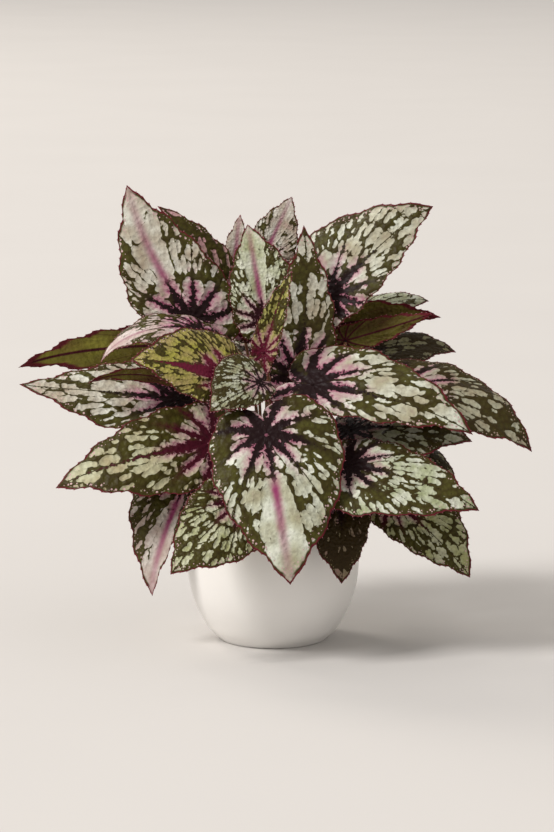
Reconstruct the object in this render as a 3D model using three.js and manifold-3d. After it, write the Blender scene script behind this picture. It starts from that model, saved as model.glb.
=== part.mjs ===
// A rex begonia in a round white cover pot, in millimetres.
// The origin is the middle of the pot's foot, +Z is up and -Y is the plant's front.
import * as THREE from 'three';
import { mergeVertices } from 'three/addons/utils/BufferGeometryUtils.js';
import Module from 'manifold-3d';

const wasm = await Module();
wasm.setup();

// ---------------------------------------------------------------- driving dimensions
const POT_HEIGHT = 110;
const POT_RADIUS = 67.5;
const FOOT_RADIUS = 43;
const POT_WALL = 5;
const POT_FLOOR = 8;
const SOIL_DEPTH_BELOW_RIM = 10;
const GAP = 0.3;

const BLADE_THICKNESS = 0.8;
const TEETH_PER_SIDE = 7;
const TOOTH_HEIGHT = 0.012;
const WAVE_HEIGHT = 0.012;
const VEINS_ROUND_BLADE = 7;
const FULL_WAVE_AT = 0.5;
const NOD_FROM = 0.65;
const FOLD_SOFTNESS = 0.05;
const HALF_WIDTH = 0.45;
const INNER_RINGS = [0.66, 0.33];
const MIDRIB_STEPS = 24;

const PETIOLE_SIDES = 5;
const PETIOLE_STEPS = 7;
const PETIOLE_TAPER = 0.72;
const SHORT_BLADE = 60;
const LONG_BLADE = 125;
const THIN_PETIOLE = 1.5;
const THICK_PETIOLE = 2.3;
const ROOT_SUNK = 8;
const HOLE_CLEARANCE = 0.45;

const POT_SEGMENTS = 40;
const RIM_RADIUS = 0.992 * POT_RADIUS;
const FLOOR_RADIUS = 0.72 * POT_RADIUS;
const RIM_ROUNDING = 2.5;
const SOIL_TOP = POT_HEIGHT - SOIL_DEPTH_BELOW_RIM;
const DEGREE = Math.PI / 180;

// Half of a blade's outline, from the notch behind the petiole round to the tip, in blade
// lengths: [along the midrib from the petiole, out from the midrib]. A begonia's blade is
// lopsided, so one half is wide and the other is narrow.
const WIDE_HALF = [
  [-0.035, 0], [-0.16, 0.012], [-0.25, 0.13], [-0.225, 0.295], [-0.095, 0.40], [0.09, 0.44],
  [0.28, 0.42], [0.46, 0.365], [0.63, 0.28], [0.77, 0.18], [0.88, 0.09], [1, 0],
];
const NARROW_HALF = [
  [-0.035, 0], [-0.13, 0.012], [-0.205, 0.11], [-0.165, 0.245], [-0.01, 0.32], [0.20, 0.335],
  [0.38, 0.31], [0.56, 0.25], [0.72, 0.17], [0.84, 0.095], [0.93, 0.042], [1, 0],
];

// ---------------------------------------------------------------- the leaves
// joint: where the petiole meets the blade. tip: the blade's point. face: the way the upper
// side looks. wide: the wider half, 1 on the right with the tip ahead and the upper side
// towards the eye, -1 on the left. left, right: how wide each half is. arch, curl, fold,
// sweep and nod are in degrees: along the midrib, across the blade, up from the midrib,
// sideways and at the tip. root: x and y in the soil. bend: pushes the petiole's middle.
const USUAL = {
  wide: 1, left: 1, right: 1, arch: 30, fold: 8, curl: 25, sweep: 0, nod: 20, bend: [0, 0, 0],
};

const LEAVES = [
  // the tall leaves at the back
  { name: 'leaf_upper_left', joint: [-64, 38, 248], tip: [-115, 60, 350], face: [0.05, -1, 0.15],
    left: 0.85, right: 0.8, arch: 10, fold: 4, curl: 20, sweep: -25, root: [-20, 10], bend: [8, 0, 0] },
  { name: 'leaf_upper_left_behind', joint: [-37, 63, 244], tip: [-92, 80, 331], face: [0.5, -0.9, 0.3],
    left: 0.8, right: 0.52, fold: 14, sweep: 30, root: [-14, 26], bend: [6, 0, 0] },
  { name: 'leaf_top_young', joint: [-32, 88, 263], tip: [-26, 96, 323], face: [-0.2, -1, 0.2],
    left: 0.62, right: 0.62, arch: 20, fold: 10, root: [-8, 36] },
  { name: 'leaf_top_left', joint: [-7, 30, 249], tip: [-20, 50, 320], face: [-0.05, -1, 0.35],
    left: 0.95, arch: 20, fold: 14, root: [-4, 10] },
  { name: 'leaf_top_back', joint: [-9, 74, 288], tip: [15, 88, 338], face: [0.1, -1, 0.5],
    left: 0.95, right: 0.9, arch: 20, fold: 10, root: [4, 26] },
  { name: 'leaf_top_right', joint: [19, 22, 206], tip: [24, 36, 321], face: [0, -1, 0.15],
    left: 0.6, right: 0.5, arch: 16, sweep: 16, root: [10, 4] },
  { name: 'leaf_young_folded', joint: [-7, -8, 228], tip: [15, -2, 290], face: [-0.3, -1, 0.3],
    left: 0.5, right: 0.42, arch: 20, fold: 30, root: [-2, -4] },
  { name: 'leaf_upper_right', joint: [46, 36, 267], tip: [126, 58, 333], face: [0, -0.75, 0.75],
    wide: -1, left: 1.12, right: 0.75, arch: 25, root: [20, 20], bend: [-16, 0, 0] },

  // the right side, from the top down
  { name: 'leaf_right_thin', joint: [63, 88, 242], tip: [125, 102, 252], face: [0.1, -0.45, 1],
    left: 0.9, right: 0.9, fold: 6, root: [24, 34] },
  { name: 'leaf_right_turned_upper', joint: [46, 50, 240], tip: [132, 44, 247], face: [-0.1, 0.9, 0.25],
    left: 0.42, right: 0.46, fold: 12, root: [30, 28] },
  { name: 'leaf_right_turned_lower', joint: [57, 30, 231], tip: [124, 22, 254], face: [-0.1, 0.75, -0.3],
    left: 0.42, right: 0.4, arch: 20, fold: 20, root: [32, 12], bend: [4, 6, 0] },
  { name: 'leaf_right_dark', joint: [61, 60, 212], tip: [145, 64, 216], face: [0.1, -0.5, 1],
    left: 0.85, right: 0.85, arch: 40, fold: 10, root: [40, 22] },
  { name: 'leaf_right_front', joint: [31, -22, 204], tip: [152, -54, 170], face: [0.15, -0.72, 0.7],
    left: 1, right: 0.46, root: [18, -8] },
  { name: 'leaf_far_right', joint: [100, 4, 197], tip: [200, -16, 150], face: [0.3, -0.6, 0.8],
    wide: -1, left: 0.78, right: 0.9, arch: 35, fold: 10, sweep: -18, root: [34, 0] },
  { name: 'leaf_right_under', joint: [61, -10, 167], tip: [153, -34, 161], face: [0.1, -0.6, 0.9],
    left: 0.8, right: 1.05, root: [32, -12] },
  { name: 'leaf_right_shaded', joint: [83, 32, 145], tip: [144, 26, 119], face: [0.3, -0.5, 0.8],
    wide: -1, arch: 40, root: [44, 10] },
  { name: 'leaf_lower_right', joint: [59, -56, 147], tip: [156, -80, 116], face: [0.2, -0.7, 0.7],
    left: 0.82, right: 0.95, fold: 10, root: [28, -26] },
  { name: 'leaf_hanging_right', joint: [94, -16, 112], tip: [152, -40, 56], face: [0.35, -0.9, 0.3],
    wide: -1, left: 0.95, right: 0.95, fold: 18, root: [44, -8], bend: [0, 0, 22] },
  { name: 'leaf_hanging_dark', joint: [51, -55, 121], tip: [52, -80, 60], face: [0.2, -0.9, 0.3],
    arch: 35, fold: 12, root: [26, -38], bend: [0, 0, 12] },

  // the front and the left side, from the bottom up
  { name: 'leaf_front', joint: [-5, -74, 174], tip: [13, -110, 66], face: [0.05, -1, 0.32],
    wide: -1, left: 1.1, right: 1.15, arch: 22, fold: 6, root: [4, -28] },
  { name: 'leaf_front_left', joint: [-27, -72, 122], tip: [-77, -108, 73], face: [-0.1, -1, 0.4],
    wide: -1, left: 1.1, right: 1.1, arch: 25, root: [-14, -40], bend: [0, 0, 12] },
  { name: 'leaf_hanging_left', joint: [-64, -6, 131], tip: [-93, -36, 41], face: [-0.45, -0.8, 0.25],
    left: 0.5, right: 0.85, arch: 35, fold: 26, root: [-42, -6], bend: [0, 0, 12] },
  { name: 'leaf_left_front', joint: [-48, -14, 157], tip: [-167, -34, 125], face: [-0.12, -0.85, 0.5],
    left: 0.85, right: 0.64, arch: 35, root: [-30, -14] },
  { name: 'leaf_left_silver', joint: [-75, 22, 185], tip: [-199, 20, 197], face: [-0.05, -0.6, 0.85],
    wide: -1, left: 0.76, right: 0.9, arch: 6, fold: 10, nod: -10, root: [-38, 10] },
  { name: 'leaf_left_turned', joint: [-70, 67, 222], tip: [-203, 75, 202], face: [-0.05, 0.9, 0.45],
    left: 0.42, right: 0.42, arch: 25, fold: 10, root: [-34, 30], bend: [0, 10, 0] },
  { name: 'leaf_left_arched', joint: [-59, 6, 243], tip: [-133, -4, 218], face: [-0.2, -0.3, 0.9],
    left: 0.85, right: 0.85, arch: 65, root: [-26, 2], bend: [0, 14, 0] },
  { name: 'leaf_left_light', joint: [-37, -45, 213], tip: [-108, -62, 229], face: [-0.1, -0.8, 0.65],
    left: 1, right: 1.3, arch: 25, fold: 6, root: [-12, -14] },
  { name: 'leaf_left_narrow', joint: [-61, -6, 201], tip: [-143, -14, 203], face: [-0.1, 0.5, 0.6],
    left: 0.32, right: 0.32, arch: 40, fold: 10, root: [-18, -3], bend: [6, 10, 36] },
  { name: 'leaf_front_young', joint: [-10, -52, 210], tip: [-48, -74, 191], face: [-0.1, -1, 0.45],
    left: 0.9, right: 1.6, root: [-4, -18] },

  // the far side, in two tiers and one leaf above them
  { name: 'leaf_back_top', joint: [-8, 92, 210], tip: [0, 163, 230], face: [0, 0.2, 1],
    arch: 35, fold: 12, root: [6, 42] },
  { name: 'leaf_back_upper_1', joint: [80, 54, 180], tip: [142, 103, 172], face: [0.4, 0.3, 1],
    arch: 40, fold: 12, root: [44, 30] },
  { name: 'leaf_back_upper_2', joint: [31, 90, 183], tip: [71, 152, 198], face: [0.1, 0.3, 1],
    wide: -1, arch: 40, fold: 12, root: [28, 44] },
  { name: 'leaf_back_upper_3', joint: [-28, 87, 184], tip: [-62, 154, 198], face: [-0.1, 0.3, 1],
    wide: -1, arch: 40, fold: 12, root: [-18, 42] },
  { name: 'leaf_back_upper_4', joint: [-62, 60, 170], tip: [-127, 122, 164], face: [-0.4, 0.3, 1],
    arch: 40, fold: 12, root: [-38, 36] },
  { name: 'leaf_back_lower_1', joint: [69, 61, 137], tip: [110, 102, 100], face: [0.7, 0.6, 1],
    wide: -1, arch: 35, fold: 12, root: [34, 34] },
  { name: 'leaf_back_lower_2', joint: [9, 86, 138], tip: [20, 149, 104], face: [0.1, 0.9, 1],
    arch: 35, fold: 12, root: [8, 54] },
  { name: 'leaf_back_lower_3', joint: [-35, 78, 138], tip: [-68, 134, 100], face: [-0.4, 0.8, 1],
    wide: -1, left: 0.85, right: 0.85, arch: 35, fold: 12, root: [-26, 46] },
  { name: 'leaf_back_lower_4', joint: [-78, 37, 138], tip: [-138, 60, 108], face: [-0.8, 0.4, 1],
    arch: 35, fold: 12, root: [-48, 18] },
];

// ---------------------------------------------------------------- materials
const glaze = new THREE.MeshStandardMaterial({ color: '#ece8e0', roughness: 0.35, metalness: 0 });
const peat = new THREE.MeshStandardMaterial({ color: '#2c2019', roughness: 0.95, metalness: 0 });

function leafMaterial() {
  return new THREE.MeshStandardMaterial({ color: '#7f8a66', roughness: 0.6, metalness: 0 });
}

// ---------------------------------------------------------------- solids
/** Turns a closed geometry into a solid that can be joined or cut. */
function toSolid(geometry) {
  const bare = geometry.clone();
  bare.deleteAttribute('normal');
  bare.deleteAttribute('uv');
  const merged = mergeVertices(bare, 1e-4);
  return new wasm.Manifold(new wasm.Mesh({
    numProp: 3,
    vertProperties: new Float32Array(merged.attributes.position.array),
    triVerts: new Uint32Array(merged.index.array),
  }));
}

function toGeometry(solid) {
  const mesh = solid.getMesh();
  const geometry = new THREE.BufferGeometry();
  geometry.setAttribute('position', new THREE.BufferAttribute(mesh.vertProperties, 3));
  geometry.setIndex(new THREE.BufferAttribute(mesh.triVerts, 1));
  geometry.computeVertexNormals();
  return geometry;
}

function geometryFrom(points, triangles) {
  const geometry = new THREE.BufferGeometry();
  geometry.setFromPoints(points);
  geometry.setIndex(triangles.flat());
  return geometry;
}

/** A turned solid: the profile holds [radius, height] pairs from axis to axis. */
function turned(profile) {
  const points = profile.map(([radius, height]) => new THREE.Vector2(radius, height));
  const lathe = new THREE.LatheGeometry(points, POT_SEGMENTS);
  lathe.rotateX(Math.PI / 2);
  return toSolid(lathe);
}

// ---------------------------------------------------------------- the blade's form
/** The midrib's direction in its own plane at u, where u is 0 at the petiole and 1 at the tip. */
function midribAngle(leaf, u) {
  const pastShoulder = THREE.MathUtils.clamp((u - NOD_FROM) / (1 - NOD_FROM), 0, 1);
  return DEGREE * (leaf.arch * (0.5 - u) - leaf.nod * pastShoulder * pastShoulder);
}

/** Where the midrib is at u, walked out from the petiole in short steps. */
function midribAt(leaf, u) {
  let along = 0;
  let up = 0;
  for (let i = 0; i < MIDRIB_STEPS; i += 1) {
    const angle = midribAngle(leaf, (u * (i + 0.5)) / MIDRIB_STEPS);
    along += (Math.cos(angle) * u) / MIDRIB_STEPS;
    up += (Math.sin(angle) * u) / MIDRIB_STEPS;
  }
  return { along, up, angle: midribAngle(leaf, u) };
}

/** The blade's own axes: ahead to the tip, up out of the upper side, and to the right. */
function bladeAxes(leaf) {
  const ahead = leaf.tip.clone().sub(leaf.joint);
  const chord = ahead.length();
  ahead.normalize();
  const up = leaf.face.clone().addScaledVector(ahead, -leaf.face.dot(ahead)).normalize();
  const right = new THREE.Vector3().crossVectors(ahead, up);
  const end = midribAt(leaf, 1);
  const length = chord / Math.hypot(end.along, end.up);
  return { ahead, up, right, length, tilt: Math.atan2(end.up, end.along) };
}

/** The point of the blade's middle surface at u along and w to the right, in blade lengths. */
function bladePoint(leaf, axes, u, w) {
  const middle = midribAt(leaf, u);
  const cos = Math.cos(axes.tilt);
  const sin = Math.sin(axes.tilt);
  const along = axes.length * (middle.along * cos + middle.up * sin);
  const lift = axes.length * (middle.up * cos - middle.along * sin);
  const angle = middle.angle - axes.tilt;
  const normal = axes.up.clone().multiplyScalar(Math.cos(angle));
  normal.addScaledVector(axes.ahead, -Math.sin(angle));

  const out = Math.abs(w);
  const raised = (leaf.fold * out) / (out + FOLD_SOFTNESS);
  const slope = DEGREE * (raised - (0.5 * leaf.curl * out) / HALF_WIDTH);
  const inBlade = THREE.MathUtils.clamp(u, 0, 1);
  const sweep = 2 * inBlade * (1 - inBlade) * Math.tan((DEGREE * leaf.sweep) / 4);
  const sideways = axes.length * (w * Math.cos(slope) + sweep);
  const reach = Math.min(Math.hypot(u, w) / FULL_WAVE_AT, 1.2);
  const wave = WAVE_HEIGHT * reach * reach * Math.cos(Math.atan2(w, u) * VEINS_ROUND_BLADE + 1);
  const rise = axes.length * (out * Math.sin(slope) + wave);

  return leaf.joint.clone()
    .addScaledVector(axes.ahead, along)
    .addScaledVector(axes.up, lift)
    .addScaledVector(axes.right, sideways)
    .addScaledVector(normal, rise);
}

/** One half of the toothed margin, from the notch to the tip, as [u, w] pairs. */
function halfMargin(leaf, side) {
  const half = side === leaf.wide ? WIDE_HALF : NARROW_HALF;
  const width = side * (side > 0 ? leaf.right : leaf.left);
  const curve = new THREE.SplineCurve(half.map(([u, w]) => new THREE.Vector2(u, w * width)));
  const count = 2 * TEETH_PER_SIDE;
  const smooth = curve.getSpacedPoints(count);
  return smooth.map((point, i) => {
    if (i < 2 || i > count - 2) return [point.x, point.y];
    const ahead = smooth[i + 1].clone().sub(smooth[i - 1]).normalize();
    const isTooth = i % 2 === 1;
    const out = isTooth ? TOOTH_HEIGHT : -TOOTH_HEIGHT;
    const lean = isTooth ? TOOTH_HEIGHT : 0;
    return [
      point.x - ahead.y * side * out + ahead.x * lean,
      point.y + ahead.x * side * out + ahead.y * lean,
    ];
  });
}

/** The blade's flat pattern: the margin, two smaller rings inside it and the petiole's joint. */
function bladePattern(leaf) {
  const right = halfMargin(leaf, 1);
  const left = halfMargin(leaf, -1).reverse().slice(1, -1);
  const margin = [...right, ...left];
  const rings = [margin];
  INNER_RINGS.forEach((scale, level) => {
    const step = 2 ** (level + 1);
    rings.push(margin.filter((_, i) => i % step === 0).map(([u, w]) => [u * scale, w * scale]));
  });

  const triangles = [];
  let start = 0;
  for (let level = 0; level < INNER_RINGS.length; level += 1) {
    const outer = rings[level].length;
    const inner = rings[level + 1].length;
    const inside = start + outer;
    for (let i = 0; i < inner; i += 1) {
      const [a, b, c] = [2 * i, 2 * i + 1, (2 * i + 2) % outer].map((k) => start + k);
      const [m, n] = [inside + i, inside + ((i + 1) % inner)];
      triangles.push([a, m, b], [b, n, c], [b, m, n]);
    }
    start = inside;
  }
  const last = rings.at(-1).length;
  for (let i = 0; i < last; i += 1) {
    triangles.push([start + i, start + last, start + ((i + 1) % last)]);
  }
  return { points: [...rings.flat(), [0, 0]], marginCount: margin.length, triangles };
}

/** The blade as a thin closed shell, with the same triangles on both sides. */
function bladeSolid(leaf, axes) {
  const { points, marginCount, triangles } = bladePattern(leaf);
  const middle = points.map(([u, w]) => bladePoint(leaf, axes, u, w));
  const normals = middle.map(() => new THREE.Vector3());
  triangles.forEach((corners) => {
    const [a, b, c] = corners.map((k) => middle[k]);
    const normal = new THREE.Vector3().crossVectors(b.clone().sub(a), c.clone().sub(a));
    corners.forEach((k) => normals[k].add(normal));
  });
  const half = BLADE_THICKNESS / 2;
  const upper = middle.map((point, k) => point.clone().addScaledVector(normals[k].normalize(), half));
  const under = middle.map((point, k) => point.clone().addScaledVector(normals[k], -half));

  const count = middle.length;
  const faces = [...triangles, ...triangles.map(([a, b, c]) => [a + count, c + count, b + count])];
  for (let i = 0; i < marginCount; i += 1) {
    const next = (i + 1) % marginCount;
    faces.push([i, next, next + count], [i, next + count, i + count]);
  }
  return toSolid(geometryFrom([...upper, ...under], faces));
}

// ---------------------------------------------------------------- the petiole
function petioleRadius(length) {
  const share = THREE.MathUtils.clamp((length - SHORT_BLADE) / (LONG_BLADE - SHORT_BLADE), 0, 1);
  return THREE.MathUtils.lerp(THIN_PETIOLE, THICK_PETIOLE, share);
}

/** The petiole rises from the soil, leans out and comes up into the blade from beneath. */
function petiolePath(leaf, axes) {
  const start = new THREE.Vector3(leaf.root[0], leaf.root[1], SOIL_TOP - ROOT_SUNK);
  const reach = leaf.joint.distanceTo(start);
  const straight = leaf.joint.clone().sub(start).divideScalar(reach);
  const arrival = straight.clone().multiplyScalar(0.7).addScaledVector(axes.up, 0.45).normalize();
  const bend = new THREE.Vector3(...leaf.bend);
  const nearRoot = start.clone().add(bend);
  nearRoot.x += straight.x * reach * 0.06;
  nearRoot.y += straight.y * reach * 0.06;
  nearRoot.z += reach * 0.42;
  const nearBlade = leaf.joint.clone().addScaledVector(arrival, -0.33 * reach).add(bend);
  const end = leaf.joint.clone().addScaledVector(axes.up, 0.5);
  return new THREE.CubicBezierCurve3(start, nearRoot, nearBlade, end);
}

/** A tapered round stalk along the path, closed at both ends and, for its hole, a little larger. */
function petioleSolid(leaf, axes, larger = 0) {
  const path = petiolePath(leaf, axes);
  const frames = path.computeFrenetFrames(PETIOLE_STEPS, false);
  const rootRadius = petioleRadius(axes.length);
  const points = [];
  for (let i = 0; i <= PETIOLE_STEPS; i += 1) {
    const centre = path.getPointAt(i / PETIOLE_STEPS);
    if (i === 0) centre.z -= larger;
    const radius = larger + rootRadius * THREE.MathUtils.lerp(1, PETIOLE_TAPER, i / PETIOLE_STEPS);
    for (let k = 0; k < PETIOLE_SIDES; k += 1) {
      const turn = (2 * Math.PI * k) / PETIOLE_SIDES;
      points.push(centre.clone()
        .addScaledVector(frames.normals[i], radius * Math.cos(turn))
        .addScaledVector(frames.binormals[i], radius * Math.sin(turn)));
    }
  }
  const faces = [];
  for (let i = 0; i < PETIOLE_STEPS; i += 1) {
    for (let k = 0; k < PETIOLE_SIDES; k += 1) {
      const a = i * PETIOLE_SIDES + k;
      const b = i * PETIOLE_SIDES + ((k + 1) % PETIOLE_SIDES);
      faces.push([a, b, b + PETIOLE_SIDES], [a, b + PETIOLE_SIDES, a + PETIOLE_SIDES]);
    }
  }
  const end = PETIOLE_STEPS * PETIOLE_SIDES;
  for (let k = 1; k < PETIOLE_SIDES - 1; k += 1) {
    faces.push([0, k + 1, k], [end, end + k, end + k + 1]);
  }
  return toSolid(geometryFrom(points, faces));
}

// ---------------------------------------------------------------- pieces
function readLeaf(entry) {
  return {
    ...USUAL,
    ...entry,
    joint: new THREE.Vector3(...entry.joint),
    tip: new THREE.Vector3(...entry.tip),
    face: new THREE.Vector3(...entry.face),
  };
}

/** A blade and its petiole in one piece, placed by the petiole's root. */
function makeLeaf(leaf) {
  const axes = bladeAxes(leaf);
  const geometry = toGeometry(bladeSolid(leaf, axes).add(petioleSolid(leaf, axes)));
  geometry.translate(-leaf.root[0], -leaf.root[1], -SOIL_TOP);

  const mesh = new THREE.Mesh(geometry, leafMaterial());
  mesh.name = leaf.name;
  mesh.position.set(leaf.root[0], leaf.root[1], SOIL_TOP);
  return mesh;
}

/** The pot's outer side, from just above the foot to just under the rim. */
function potSide() {
  const side = new THREE.SplineCurve([
    [FOOT_RADIUS, 1.6], [0.765 * POT_RADIUS, 0.095 * POT_HEIGHT], [0.915 * POT_RADIUS, 0.275 * POT_HEIGHT],
    [0.985 * POT_RADIUS, 0.46 * POT_HEIGHT], [POT_RADIUS, 0.68 * POT_HEIGHT],
    [RIM_RADIUS, POT_HEIGHT - RIM_ROUNDING],
  ].map(([radius, height]) => new THREE.Vector2(radius, height)));
  return side.getSpacedPoints(9).map(({ x, y }) => [x, y]);
}

/** The inside follows the outside, one wall in and one floor up. */
function potInside() {
  return potSide()
    .filter(([, height]) => height > POT_FLOOR + 4)
    .map(([radius, height]) => [radius - POT_WALL, height])
    .reverse();
}

function makePot() {
  const profile = [
    [0, 0], [FOOT_RADIUS - 2, 0], [FOOT_RADIUS - 0.6, 0.6],
    ...potSide(),
    [RIM_RADIUS - 0.8, POT_HEIGHT - 0.7], [RIM_RADIUS - POT_WALL / 2, POT_HEIGHT],
    [RIM_RADIUS - POT_WALL + 0.8, POT_HEIGHT - 0.7],
    ...potInside(),
    [FLOOR_RADIUS, POT_FLOOR], [0, POT_FLOOR],
  ];
  const pot = new THREE.Mesh(toGeometry(turned(profile)), glaze);
  pot.name = 'pot';
  return pot;
}

/** The potting soil fills the pot, with a plain round hole for each petiole. */
function makeSoil(leaves) {
  const wall = potInside()
    .filter(([, height]) => height < SOIL_TOP - 2)
    .map(([radius, height]) => [radius - GAP, height])
    .reverse();
  const top = RIM_RADIUS - POT_WALL - GAP;
  const profile = [
    [0, POT_FLOOR + GAP], [FLOOR_RADIUS - GAP, POT_FLOOR + GAP], ...wall,
    [top - 0.4, SOIL_TOP - 1], [top - 8, SOIL_TOP], [0, SOIL_TOP],
  ];
  let soil = turned(profile);
  leaves.forEach((leaf) => {
    soil = soil.subtract(petioleSolid(leaf, bladeAxes(leaf), HOLE_CLEARANCE));
  });
  const mesh = new THREE.Mesh(toGeometry(soil), peat);
  mesh.name = 'potting_soil';
  return mesh;
}

const begonia = new THREE.Group();
const leaves = LEAVES.map(readLeaf);
begonia.add(makePot(), makeSoil(leaves), ...leaves.map(makeLeaf));

export default begonia;
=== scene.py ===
# %% [markdown]
# # A potted rex begonia
# A rex begonia is grown for its leaves. Each one stands on a bare hairy stalk and is lopsided,
# toothed and painted in bands: a dark star over the veins, ragged silver patches between them,
# and a green border with small silver spots. The plant stands in a round white cover pot.
# The solids of the pot, the soil and every leaf are loaded first, and each is then replaced by a
# finer piece with the same form and in the same place.

# %% Load the solids
import math

import bpy
import numpy as np
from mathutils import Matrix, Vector


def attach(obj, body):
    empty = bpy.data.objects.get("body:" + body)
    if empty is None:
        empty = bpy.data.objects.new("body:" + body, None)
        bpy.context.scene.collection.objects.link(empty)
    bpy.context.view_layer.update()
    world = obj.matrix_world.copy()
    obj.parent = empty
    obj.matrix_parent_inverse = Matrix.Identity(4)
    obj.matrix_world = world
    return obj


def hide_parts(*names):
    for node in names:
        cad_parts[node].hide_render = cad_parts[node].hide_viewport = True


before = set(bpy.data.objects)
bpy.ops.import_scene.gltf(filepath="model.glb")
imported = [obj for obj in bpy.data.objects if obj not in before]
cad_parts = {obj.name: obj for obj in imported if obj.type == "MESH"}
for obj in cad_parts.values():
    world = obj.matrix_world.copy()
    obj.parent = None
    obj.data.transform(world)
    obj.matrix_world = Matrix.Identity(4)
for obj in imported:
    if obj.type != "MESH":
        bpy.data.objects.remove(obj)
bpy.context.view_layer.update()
MM = 0.001

# %% [markdown]
# ## Camera
# The plant is seen through a long lens, from well in front of it and a little above. A long lens
# flattens the perspective, so the far leaves look almost as large as the near ones. The camera is
# placed by its elevation and by its distance from a point in the middle of the plant.

# %% Camera
ELEVATION = math.radians(9.5)
DISTANCE = 2700 * MM
AIM = Vector((3.1, 0, 176)) * MM
LENS = 150
SENSOR_WIDTH = 36

camera_data = bpy.data.cameras.new("camera")
camera_data.lens = LENS
camera_data.sensor_width = SENSOR_WIDTH
camera = bpy.data.objects.new("camera", camera_data)
bpy.context.scene.collection.objects.link(camera)
camera.location = AIM - DISTANCE * Vector((0, math.cos(ELEVATION), -math.sin(ELEVATION)))
camera.rotation_euler = (math.pi / 2 - ELEVATION, 0, 0)
bpy.context.scene.camera = camera
print("camera height:", round(camera.location.z, 3))

# %% [markdown]
# ## Making a material
# Every material here is a small network of nodes. One function adds a node: it takes the values
# of the inputs, by their order or by their number, links those that are sockets and sets the
# others. Settings that come up often have a name of their own. Colours are written as the hex
# values that a picture editor shows, and turned to linear light by one function.


# %% Adding nodes
def linear(hex_colour):
    """The linear RGBA that Blender works with, from an sRGB hex colour."""
    channels = [int(hex_colour[i:i + 2], 16) / 255 for i in (1, 3, 5)]
    return (*[c / 12.92 if c <= 0.04045 else ((c + 0.055) / 1.055) ** 2.4 for c in channels], 1)


def add(tree, kind, values=(), output=0, **settings):
    """Adds a node and gives back one of its outputs, or the node itself if output is None."""
    node = tree.nodes.new(kind)
    for name, value in settings.items():
        setattr(node, name, value)
    for key, value in values.items() if isinstance(values, dict) else enumerate(values):
        if isinstance(value, bpy.types.NodeSocket):
            tree.links.new(value, node.inputs[key])
        elif value is not None:
            node.inputs[key].default_value = value
    return node if output is None else node.outputs[output]


MATH = "ShaderNodeMath"
MIX = "ShaderNodeMix"
RANGE = "ShaderNodeMapRange"
NOISE = "ShaderNodeTexNoise"
VORONOI = "ShaderNodeTexVoronoi"
ATTRIBUTE = "ShaderNodeAttribute"
SEPARATE = "ShaderNodeSeparateXYZ"
COMBINE = "ShaderNodeCombineXYZ"
VECTOR_MATH = "ShaderNodeVectorMath"
PRINCIPLED = "ShaderNodeBsdfPrincipled"
BUMP = "ShaderNodeBump"
COLOUR = {"data_type": "RGBA", "output": 2}
SMOOTH = {"interpolation_type": "SMOOTHSTEP"}
PLUS = {"operation": "ADD"}
MINUS = {"operation": "SUBTRACT"}
TIMES = {"operation": "MULTIPLY"}
TIMES_PLUS = {"operation": "MULTIPLY_ADD"}
LARGER = {"operation": "MAXIMUM"}
FOLDED = {"operation": "PINGPONG"}
CLAMPED = {"use_clamp": True}
FLAT_CELLS = {"output": None, "voronoi_dimensions": "2D"}


# %% Starting a material
def new_material(name):
    """An empty material, its node tree and its output node."""
    material = bpy.data.materials.new(name)
    material.use_nodes = True
    material.node_tree.nodes.clear()
    return material, material.node_tree, material.node_tree.nodes.new("ShaderNodeOutputMaterial")


# %% [markdown]
# ## The leaf's pattern
# The pattern follows the veins, so it is drawn in the leaf's own coordinates, which are stored on
# the mesh: `leaf_polar` holds the vein number that counts round the blade from the midrib, the
# distance from the petiole's joint in blade lengths, and the share of the way to the margin.
# `leaf_plane` holds the place along and out from the midrib and a number of the leaf's own.
# The silver patches lie in lanes between the veins. A Voronoi texture in vein numbers and
# distances puts one oval in each cell. Wide ovals run together as a patch, and narrow ones stay
# spots in the green border. A second, finer Voronoi texture stands for the small fields between
# the finest veins. It scallops the edges of the patches and gives the skin its pebbles.

# %% Values of the pattern
PRIMARY_VEINS = 9
VEIN_ANGLE = 2 * math.pi / PRIMARY_VEINS
# lanes of ovals between two primary veins, and rows of ovals to a blade length
NEAR_OVALS = (2.0, 5.5)
FAR_OVALS = (5.0, 6.5)
OVAL_SCATTER = 0.6
OVAL_CHANCE = 0.42
OVAL_CRINKLE = 0.5
OVAL_OWN_SHIFT = 31.0
# small fields and specks to a blade length; on a blade of 110 mm both are 3 to 4 mm across
SMALL_FIELDS = 27.0
SPECKS = 38.0
# noises: waves to a blade length, detail and roughness
RAGGED = (38.0, 3.0, 0.6)
PATCHY = (6.0, 2.0, 0.5)
CRINKLE = (20.0, 1.0, 0.5)

# Each range says where a field starts and stops changing, and then what it changes between, if
# that isn't 0 and 1. Distances are in blade lengths, and shares are of the way to the margin.
ON_MIDRIB = (0.55, 0.35)
ARM_EDGE = (0.012, -0.008)
ARM_END = -0.012
ARM_RAGGED = 0.10
ARM_REACH = (0.7, 0.34)
OVAL_WIDTHS = (0.45, 0.92, 0.46, 0.24)
WIDER_AT_TIP = (0.70, 0.92, 0.0, 0.25)
WIDER_BY_SILVER = 0.9
WIDER_BY_PATCHY = 0.6
NARROWER_BY_STAR = (0.018, 0.0, 0.0, 0.8)
BAND_LANES = (0.42, 0.28)
BAND_START = (-0.08, 0.02)
WIDER_BY_BAND = 0.5
NEAR_OVALS_FADE = (0.28, 0.42)
FAR_OVALS_FADE = (0.38, 0.24)
SCALLOPS = -0.3
PATCH_EDGE = (-0.03, 0.05)
DOME_EDGE = (-0.35, 0.45)
BARE_VEIN = (0.002, 0.007)
BARE_MARGIN = (0.975, 0.955)
LINE_RAGGED = 0.03
LINE_EDGE = (0.05, 0.004)
LINE_FADE = (0.4, 0.95, 1.0, 0.25)
SPECK_BORDER = (0.86, 0.94, -0.2, 0.12)
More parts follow.
